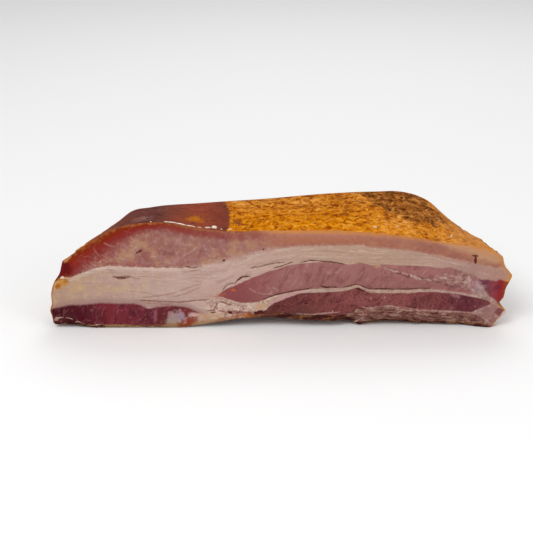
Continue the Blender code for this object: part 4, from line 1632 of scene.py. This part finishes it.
@dataclass(frozen=True)
class SmokedSide(Finish):
    """The smoked side: golden fat with a toasted patch, and bare dark lean at one end."""

    golden: Stops = stops(
        (0.28, 120, 54, 6), (0.38, 166, 86, 4), (0.48, 199, 115, 6), (0.60, 220, 136, 10),
        (0.74, 232, 162, 56),
    )
    toasted: Stops = stops(
        (0.28, 78, 42, 18), (0.42, 116, 66, 26), (0.51, 148, 88, 38), (0.60, 176, 108, 50),
        (0.74, 204, 140, 80),
    )
    bare: Stops = stops(
        (-100, 172, 92, 40), (-90, 150, 82, 46), (-80, 112, 62, 54), (-62, 108, 62, 56),
        (-50, 144, 72, 52), (-40, 156, 74, 50), (-26, 124, 62, 50),
    )
    tan: Stops = stops(
        (0.28, 138, 80, 32), (0.40, 188, 118, 44), (0.50, 218, 147, 62), (0.62, 230, 160, 85),
        (0.76, 240, 190, 134),
    )
    # Peach patches over the golden fat are painted highlights.
    painted_highlight: Colour = tint(224, 156, 96)
    # Small patches, with y in the place of z.
    patches: tuple[Spot, ...] = spot_rows(
        (-42.6, -15.4, 3.4, 3.6, 10, 0.85, 190, 116, 24), (-40.4, -18, 2, 2, 0, 0.8, 176, 100, 26),
        (-21.8, -16, 2.2, 3.6, 0, 0.8, 142, 74, 34), (-20.2, -18.8, 1.6, 2, 0, 0.7, 128, 66, 42),
        (-15.6, -26.4, 0.5, 3, -20, 0.7, 124, 62, 14), (-14.2, -20.6, 0.5, 3.4, -24, 0.6, 140, 74, 16),
        (-32, -6, 3, 6, 20, 0.4, 120, 52, 44), (-52, -6, 7, 6, 0, 0.4, 120, 66, 50),
    )
    wisp: Colour = tint(124, 54, 20)

    def layers(self, graph: Graph) -> Look:
        """Lays out the smoked side.

        Args:
            graph: The material's graph.

        Returns:
            The look.
        """
        here = graph.here
        fat, wrinkle = self.fat_layer(graph)
        lean, grain = self.lean_layer(graph)
        bare = graph.edge("bare_lean", 2.6, 0.5, 0.5)
        ragged = here.noise(0.7, 4, 0.66).waver(1.8)
        flat = self.flat_place(graph)
        coats = [(spot.mask(flat, ragged), spot.colour) for spot in self.patches]
        colour = coated(fat, (bare, lean), *coats)
        height = wrinkle * (bare * -1 + 1) + grain * bare
        return colour, here.effect(Effect.GLINT, Wetness=0.3), height, 0.5

    @staticmethod
    def flat_place(graph: Graph) -> Field:
        """Returns the place on the smoked side with Y in the place of Z."""
        x, y, _ = graph.here.axes()
        return graph.value("ShaderNodeCombineXYZ", {"X": x, "Y": -1, "Z": y})

    def fat_layer(self, graph: Graph) -> tuple[Field, Field]:
        """Lays the golden smoked fat, with painted highlights in peach patches.

        Args:
            graph: The material's graph.

        Returns:
            The colour and the height of its wrinkles.
        """
        here = graph.here
        x, y, _ = here.axes()
        drawn = here.stretch((0.62, 0.62, 1))
        main = drawn.noise(0.46, 4, 0.66, 0.8)
        fine = drawn.noise(1.3, 3, 0.62, 0.5)
        broad = here.noise(0.06, 3, 0.55)
        front = y.step(-8, -26)
        behind = y.step(-14, 14)
        value = main * 1.45 - 0.225 + broad.waver(0.12) + fine.waver(0.18)
        value = value + front * 0.035 - behind * 0.03
        toast = graph.attribute("toast") + drawn.noise(0.24, 4, 0.6).waver(6.5)
        ridge = abs(drawn.warp(0.35, 3).noise(0.34, 2, 0.6) - 0.5)
        wisps = ridge.step(0.022, 0.005) * here.noise(0.16, 3).step(0.5, 0.62)
        specks = drawn.noise(1, 2, 0.5).step(0.31, 0.24)
        tan_share = widest(behind * 0.45, x.step(30, 80, 0.55))
        tan_share = tan_share * broad.step(0.36, 0.6, 1, 0.5)
        # Painted highlights: peach patches from noise, stronger towards the right end.
        painted_highlight = drawn.noise(0.5, 4, 0.66, 0.6).step(0.57, 0.68) * x.step(-20, 50, 0.55, 0.1)
        colour = coated(
            value.ramp(self.golden),
            (tan_share, value.ramp(self.tan)),
            (x.step(76, 98) * 0.55, tint(212, 142, 78)),
            (painted_highlight, self.painted_highlight),
            (toast.step(-2.8, 2.4) * 0.9, value.ramp(self.toasted)),
            (wisps * 0.6, self.wisp),
            (specks * 0.6, self.wisp),
        )
        return colour, main * 1.3 + fine * 0.7 - wisps * 0.4

    def lean_layer(self, graph: Graph) -> tuple[Field, Field]:
        """Lays the bare, dried lean at the left of the smoked side.

        Args:
            graph: The material's graph.

        Returns:
            The colour and the height of its grain.
        """
        here = graph.here
        grain = here.stretch((0.4, 1, 1)).noise(0.8, 4, 0.65)
        hues = here.noise(0.12, 3, 0.6)
        bloom = Spot(-68.6, -18.6, 4.6, 6, 0, 0.5).mask(self.flat_place(graph), grain.waver(0.9), 0.6)
        colour = coated(
            here.axes()[0].ramp(self.bare),
            (hues.step(0.5, 0.68, 0.45), tint(138, 76, 56)),
            (hues.step(0.46, 0.32, 0.5), tint(84, 44, 44)),
            (grain.step(0.5, 0.34, 0.4), tint(72, 36, 34)),
            (grain.step(0.6, 0.72, 0.3), tint(160, 112, 92)),
            (bloom * grain.step(0.44, 0.58), tint(172, 140, 136)),
        )
        return colour, grain


@dataclass(frozen=True)
class SmokedEnd(Finish):
    """The two smoked ends, where the layers show through a dried rind."""

    fat: Colour = tint(198, 126, 48)
    fat_dark: Colour = tint(146, 82, 34)
    lean: Colour = tint(128, 42, 26)
    lean_dark: Colour = tint(78, 26, 20)

    def layers(self, graph: Graph) -> Look:
        """Lays out the ends.

        Args:
            graph: The material's graph.

        Returns:
            The look.
        """
        here = graph.here
        wisps = here.stretch((1, 0.35, 1)).noise(0.45, 5, 0.65, 0.8)
        fine = here.noise(1.1, 4, 0.65)
        names = ("foot_left", "foot_right", "end_lean", "lens", "main_lean")
        inside = widest(*(graph.attribute(name) for name in names))
        lean = here.effect(Effect.TISSUE_EDGE, Distance=inside, Ragged=1.2, Grain=0.3, Softness=0.8)
        fat_tone = coated(self.fat_dark, (wisps.step(0.38, 0.6), self.fat))
        lean_tone = coated(self.lean_dark, (wisps.step(0.38, 0.62), self.lean))
        foot = graph.attribute("to_foot").step(4, 1, 0.7)
        colour = coated(fat_tone, (lean, lean_tone), (foot, tint(88, 50, 38)))
        return colour, here.effect(Effect.GLINT, Wetness=0.3), wisps * 1.4 + fine, 0.5


@dataclass(frozen=True)
class RibSide(Finish):
    """The rib side, dark and dried, with patches of pale membrane."""

    dark: Colour = tint(92, 42, 36)
    brown: Colour = tint(124, 74, 58)
    membrane: Colour = tint(170, 138, 116)

    def layers(self, graph: Graph) -> Look:
        """Lays out the rib side.

        Args:
            graph: The material's graph.

        Returns:
            The look.
        """
        here = graph.here
        fibre = here.stretch((1, 0.28, 1)).noise(0.5, 5, 0.68, 0.8)
        ribs = here.axes()[0] * (2 * math.pi / 46) + here.noise(0.05) * 3.0
        between = ribs.math("SINE").step(0.1, 0.8, 0.55)
        veil = here.effect(Effect.MOTTLE, Scale=0.12, Low=0.5, High=0.62)
        colour = coated(
            self.dark,
            (fibre.step(0.36, 0.62), self.brown),
            (widest(veil * 0.6, between), self.membrane),
        )
        shine = here.effect(Effect.GLINT, Wetness=0.2)
        return colour, shine, fibre + here.noise(1.2, 3), 0.5


@dataclass(frozen=True)
class PlainTissue(Finish):
    """A small piece's own finish: one tissue, mottled between two colours."""

    colour: Colour = tint(236, 226, 210)
    second: Colour = tint(208, 182, 156)
    roughness: float = 0.35

    def layers(self, graph: Graph) -> Look:
        """Lays out the tissue.

        Args:
            graph: The material's graph.

        Returns:
            The look.
        """
        here = graph.here
        hues = here.effect(Effect.MOTTLE, Scale=0.5, Low=0.4, High=0.66)
        fine = here.noise(1.6, 3, 0.6)
        roughness = fine * 0.3 + (self.roughness - 0.15)
        return coated(self.colour, (hues, self.second)), roughness, fine, 0.2


# ---------------------------------------------------------------------------------------
# The pieces
# ---------------------------------------------------------------------------------------


def add_piece(
    name: str, mesh: bmesh.types.BMesh | bpy.types.Mesh, finishes: list[Finish]
) -> bpy.types.Object:
    """Turns a finished mesh into a piece that rides on the body.

    Args:
        name: The piece's name.
        mesh: Its mesh, in metres, in the frame. A bmesh is freed.
        finishes: The finish of each material index.

    Returns:
        The piece.
    """
    data = mesh
    if isinstance(mesh, bmesh.types.BMesh):
        data = bpy.data.meshes.new(name)
        mesh.to_mesh(data)
        mesh.free()
    for finish in finishes:
        data.materials.append(finish.material())
    data.shade_smooth()
    data.set_sharp_from_angle(angle=SHARP)
    piece = bpy.data.objects.new(name, data)
    bpy.context.scene.collection.objects.link(piece)
    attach(piece, BODY)
    LOG.info("%s: %d faces", name, len(data.polygons))
    return piece


@dataclass
class BaconBody:
    """The piece of bacon itself."""

    shape: BellyShape
    columns: int = 330
    slices: int = 38
    rows_in_layers: tuple[int, ...] = (26, 5, 21, 17, 20)
    edge_steps: tuple[float, ...] = (0.0, 0.12, 0.35, 0.7, 1.2)
    # The size that the columns, slices, foot rows and skin rows share out.
    length: float = 226.0
    depth: float = 56.0
    foot_height: float = 14.0
    skin_height: float = 11.0

    def shares(self, parts: int, length: float) -> Array:
        """Returns shares from 0 to 1 in even steps, with finer steps at both ends."""
        edge = np.array(self.edge_steps) / length
        middle = np.linspace(edge[-1], 1 - edge[-1], parts - 2 * (len(edge) - 1) + 1)
        return np.concatenate([edge[:-1], middle, 1 - edge[:-1][::-1]])

    def rows(self) -> Array:
        """Returns the layer of each row, with finer rows along the foot and the smoked edge."""
        rows = np.concatenate(
            [np.arange(count) / count + layer for layer, count in enumerate(self.rows_in_layers)]
        )
        foot = np.array(self.edge_steps[1:]) / self.foot_height
        skin = SKIN_LAYER - np.array(self.edge_steps) / self.skin_height
        rows = rows[(rows == 0) | ((rows > foot[-1] * 1.2) & (rows < skin[-1] - 0.02))]
        return np.unique(np.concatenate([rows, foot, skin]))

    def block(self, counts: tuple[int, int, int]) -> bpy.types.Mesh:
        """Cuts a cube of side 1 into the columns, slices and rows of the piece.

        Args:
            counts: The number of steps along each axis.

        Returns:
            The cut cube, with one corner at the origin.
        """
        mesh = bmesh.new()
        bmesh.ops.create_cube(mesh, size=1.0)
        bmesh.ops.translate(mesh, verts=mesh.verts, vec=(0.5, 0.5, 0.5))
        for axis, parts in enumerate(counts):
            across = [
                edge for edge in mesh.edges
                if abs(edge.verts[0].co[axis] - edge.verts[1].co[axis]) > 0.5
            ]
            bmesh.ops.subdivide_edges(mesh, edges=across, cuts=parts - 1, use_grid_fill=True)
        data = bpy.data.meshes.new("bacon_body")
        mesh.to_mesh(data)
        mesh.free()
        return data

    def build(self) -> bpy.types.Object:
        """Builds the body and dresses it.

        Returns:
            The body's object.
        """
        across, deep = self.shares(self.columns, self.length), self.shares(self.slices, self.depth)
        steps = (across, deep, self.rows())
        counts = tuple(len(step) - 1 for step in steps)
        data = self.block(counts)
        unit = np.empty(len(data.vertices) * 3)
        data.vertices.foreach_get("co", unit)
        unit = unit.reshape(-1, 3)
        along, depth_share, layer = (
            steps[axis][np.rint(unit[:, axis] * count).astype(int)] for axis, count in enumerate(counts)
        )
        places = self.shape.place(along, depth_share, layer)
        low, high = (np.array(corner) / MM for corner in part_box(NODE))
        self.shape.centre[:2] = ((places.min(axis=0) + places.max(axis=0) - low - high) / 2)[:2]
        data.vertices.foreach_set("co", ((places - self.shape.centre) * MM).ravel())
        corners = np.empty(len(data.polygons) * 4, int)
        data.polygons.foreach_get("vertices", corners)
        sides = self.sides(depth_share, layer, corners.reshape(-1, 4))
        data.polygons.foreach_set("material_index", sides)
        fields = TissueMap(self.shape).fields(along, depth_share, layer, places)
        for name, values in fields.items():
            stored = data.attributes.new(name, "FLOAT", "POINT")
            stored.data.foreach_set("value", values.astype(np.float32))
        body = add_piece(
            "bacon_body", data,
            [
                CutMeat("cut_meat"), SmokedSide("smoked_side", specular=0.006),
                SmokedEnd("smoked_end", specular=0.04), RibSide("rib_side"),
            ],
        )
        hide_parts(NODE)
        return body

    @staticmethod
    def sides(depth_share: Array, layer: Array, corners: Array) -> Array:
        """Returns the finish of each face: 0 a cut, 1 the smoked side, 2 an end, 3 the rib side."""
        deep, high = depth_share[corners], layer[corners]
        cut = (deep.max(axis=1) == 0) | (deep.min(axis=1) == 1)
        smoked = high.min(axis=1) == SKIN_LAYER
        rib = high.max(axis=1) == 0
        return np.select([cut, smoked, rib], [0, 1, 3], 2)


@dataclass
class FatBeads:
    """Beads and smears of white fat along the front of the smoked side."""

    shape: BellyShape
    # Each bead's two tips (x, y), its half width and its rise.
    smears: tuple[tuple[tuple[float, float], tuple[float, float], float, float], ...] = (
        ((-57, -27.4), (-50.8, -27.2), 0.42, 0.42), ((-51.4, -27.1), (-45.8, -28.2), 0.4, 0.38),
        ((-46.2, -28.1), (-41.6, -28.3), 0.3, 0.32), ((-40.6, -28.2), (-38.6, -27.8), 0.24, 0.26),
        ((-33.6, -25.2), (-31.4, -24.6), 1.3, 1.05), ((-36.8, -27.2), (-34.4, -26.2), 0.6, 0.45),
        ((-29.4, -26.6), (-28.4, -26.6), 0.36, 0.34), ((-25.4, -26.4), (-23.8, -26.2), 0.4, 0.3),
        ((-63.7, -28.1), (-63.1, -28.1), 0.35, 0.4), ((85.6, -18.2), (86.4, -17.8), 1.1, 0.8),
        ((46.2, -23.6), (48, -23.2), 0.6, 0.34), ((58, -19.7), (59, -19.4), 0.4, 0.24),
    )

    def build(self) -> bpy.types.Object:
        """Builds the beads as one piece.

        Returns:
            The piece.
        """
        mesh = bmesh.new()
        for number, (start, end, half_width, rise) in enumerate(self.smears):
            ball = bmesh.ops.create_uvsphere(mesh, u_segments=18, v_segments=12, radius=1.0)["verts"]
            # The ball's axis lies along the smear, and its underside sinks in.
            share = np.array([(vertex.co.z + 1) / 2 for vertex in ball])
            spots = self.shape.top_points(*(mix(a, b, share) for a, b in zip(start, end)))
            reach = min(math.dist(start, end) / 2, half_width) * 0.3
            for vertex, spot in zip(ball, spots):
                bump = 1 + 0.3 * noise.noise(Vector((spot[0], number * 3.0, vertex.co.y)) * 0.9)
                wide, tall = half_width * bump, rise * bump
                swell = Vector((vertex.co.z * reach, vertex.co.x * wide, vertex.co.y * tall))
                vertex.co = (Vector(spot) + swell) * MM
        bmesh.ops.recalc_face_normals(mesh, faces=mesh.faces)
        return add_piece("fat_beads", mesh, [PlainTissue("white_fat", coat=0.3, specular=0.5)])


@dataclass
class SmokeSpecks:
    """Dark specks of smoke and pepper on the smoked side."""

    shape: BellyShape
    # Each speck's place (x, y) and its radius.
    shown: tuple[Triple, ...] = (
        (7.5, -12.0, 0.4), (33.5, 0.5, 0.32), (38.5, -12.0, 0.58), (44.5, -19.0, 0.32),
        (56.5, -0.5, 0.8), (59.0, 13.5, 0.46), (64.5, 18.5, 0.62), (12.5, -12.5, 0.26),
    )

    def build(self) -> bpy.types.Object:
        """Builds the specks as one piece.

        Returns:
            The piece.
        """
        mesh = bmesh.new()
        x, y, radii = np.array(self.shown).T
        for number, (spot, radius) in enumerate(zip(self.shape.top_points(x, y), radii)):
            grown = bmesh.ops.create_icosphere(mesh, subdivisions=2, radius=radius)
            for vertex in grown["verts"]:
                rough = 1 + 0.4 * noise.noise(vertex.co * 2.4 + Vector((number * 7.0, 0, 0)))
                flat = Vector((vertex.co.x, vertex.co.y * 1.3, vertex.co.z * 0.45)) * rough
                vertex.co = (Vector(spot) + flat) * MM
        finish = PlainTissue(
            "smoke_speck", colour=tint(34, 22, 18), second=tint(62, 34, 22), roughness=0.6
        )
        return add_piece("smoke_specks", mesh, [finish])


@dataclass
class Shreds:
    """Small flakes of dried tissue that lift from the cut along its foot and at its ends."""

    shape: BellyShape
    # Each flake's place (x, z), half length, half height, thickness, turn in degrees and lean.
    flakes: tuple[tuple[float, float, float, float, float, float, float], ...] = (
        (26.6, 8.9, 0.6, 0.3, 0.2, 70, 0.3), (39.6, 2.6, 2.2, 0.5, 0.3, 24, 0.4),
        (-111.4, 5, 2.2, 0.35, 0.25, 6, 0.3), (-106.2, 4.6, 1.8, 0.3, 0.22, -16, 0.3),
        (-101, 3, 1.4, 0.25, 0.2, -24, 0.3), (54, 11.6, 2, 0.3, 0.22, -6, 0.3),
        (66, 9.3, 1.6, 0.28, 0.2, 4, 0.3),
    )

    def build(self) -> bpy.types.Object:
        """Builds the flakes as one piece.

        Returns:
            The piece.
        """
        mesh = bmesh.new()
        for number, (x, z, length, height, thickness, turn, lean) in enumerate(self.flakes):
            grown = bmesh.ops.create_uvsphere(mesh, u_segments=20, v_segments=10, radius=1.0)
            spot = self.shape.front_point(x, z)
            angle = math.radians(turn)
            for vertex in grown["verts"]:
                rough = 1 + 0.3 * noise.noise(vertex.co * 1.7 + Vector((number * 5.0, 0, 0)))
                run, rise = vertex.co.x * length * rough, vertex.co.y * height * rough
                out = vertex.co.z * thickness + lean * (rise / height) * 0.4
                vertex.co = spot + Vector((
                    run * math.cos(angle) - rise * math.sin(angle),
                    -out,
                    run * math.sin(angle) + rise * math.cos(angle),
                ))
                vertex.co.z = max(vertex.co.z, 0.2)
                vertex.co *= MM
        bmesh.ops.recalc_face_normals(mesh, faces=mesh.faces)
        finish = PlainTissue(
            "dried_flake", colour=tint(186, 158, 140), second=tint(140, 102, 84), roughness=0.5
        )
        return add_piece("shreds", mesh, [finish])


# ---------------------------------------------------------------------------------------
# The set
# ---------------------------------------------------------------------------------------


@dataclass
class Studio:
    """The floor, the lights and the camera."""

    elevation: float = math.radians(22.0)
    distance: float = 0.620
    target: Triple = (-0.0067, 0.0, 0.02109)
    lens: float = 80.08
    sensor: float = 36.0
    floor_size: float = 6.0
    floor_drop: float = 0.0004
    surround: float = 0.55
    # Each light's name, place, side and power in watts.
    lights: tuple[tuple[str, Triple, float, float], ...] = (
        ("key", (-0.45, -0.75, 0.85), 0.55, 7.0),
        ("fill", (0.75, -0.70, 0.45), 0.60, 2.5),
        ("back", (0.10, 0.65, 0.85), 0.60, 2.5),
    )

    def build(self) -> None:
        """Builds the whole set."""
        self.build_floor()
        self.build_world()
        for name, place, side, power in self.lights:
            self.build_light(name, place, side, power)
        self.build_camera()

    def build_floor(self) -> None:
        """Lays a plain pale floor just under the piece."""
        mesh = bmesh.new()
        bmesh.ops.create_grid(mesh, x_segments=4, y_segments=4, size=self.floor_size / 2)
        bmesh.ops.translate(mesh, verts=mesh.verts, vec=(0, 0, -self.floor_drop))
        data = bpy.data.meshes.new("floor")
        mesh.to_mesh(data)
        mesh.free()
        finish = bpy.data.materials.new("pale_floor")
        finish.use_nodes = True
        shader = finish.node_tree.nodes["Principled BSDF"]
        shader.inputs["Base Color"].default_value = (0.9, 0.9, 0.9, 1.0)
        shader.inputs["Roughness"].default_value = 0.7
        shader.inputs["Specular IOR Level"].default_value = 0.2
        data.materials.append(finish)
        floor = bpy.data.objects.new("floor", data)
        bpy.context.scene.collection.objects.link(floor)

    def build_world(self) -> None:
        """Sets an even white surround."""
        world = bpy.data.worlds.new("surround")
        world.use_nodes = True
        background = world.node_tree.nodes["Background"]
        background.inputs["Color"].default_value = (1.0, 1.0, 1.0, 1.0)
        background.inputs["Strength"].default_value = self.surround
        bpy.context.scene.world = world
        bpy.context.scene.view_settings.view_transform = "Standard"
        bpy.context.scene.view_settings.look = "None"

    def build_light(self, name: str, place: Triple, side: float, power: float) -> None:
        """Hangs one soft light that faces the piece.

        Args:
            name: Its name.
            place: Where it hangs, in metres.
            side: Its side.
            power: Its power in watts.
        """
        light = bpy.data.lights.new(name, "AREA")
        light.size = side
        light.energy = power
        lamp = bpy.data.objects.new(name, light)
        lamp.location = place
        lamp.rotation_mode = "QUATERNION"
        lamp.rotation_quaternion = (Vector(self.target) - Vector(place)).to_track_quat("-Z", "Y")
        bpy.context.scene.collection.objects.link(lamp)

    def build_camera(self) -> None:
        """Sets the camera at the photograph's viewing angle."""
        camera = bpy.data.cameras.new("camera")
        camera.sensor_width = self.sensor
        camera.lens = self.lens
        holder = bpy.data.objects.new("camera", camera)
        ahead = Vector((0, math.cos(self.elevation), -math.sin(self.elevation)))
        holder.location = Vector(self.target) - ahead * self.distance
        holder.rotation_mode = "QUATERNION"
        holder.rotation_quaternion = ahead.to_track_quat("-Z", "Y")
        bpy.context.scene.collection.objects.link(holder)
        bpy.context.scene.camera = holder


def write_sizes() -> None:
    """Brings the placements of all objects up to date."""
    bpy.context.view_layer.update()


def main() -> None:
    """Builds and dresses the piece, and sets the scene round it."""
    logging.basicConfig(level=logging.INFO, format="%(name)s %(message)s")
    shape = BellyShape()
    BaconBody(shape).build()
    FatBeads(shape).build()
    SmokeSpecks(shape).build()
    Shreds(shape).build()
    Studio().build()
    write_sizes()


if __name__ == "__main__":
    main()
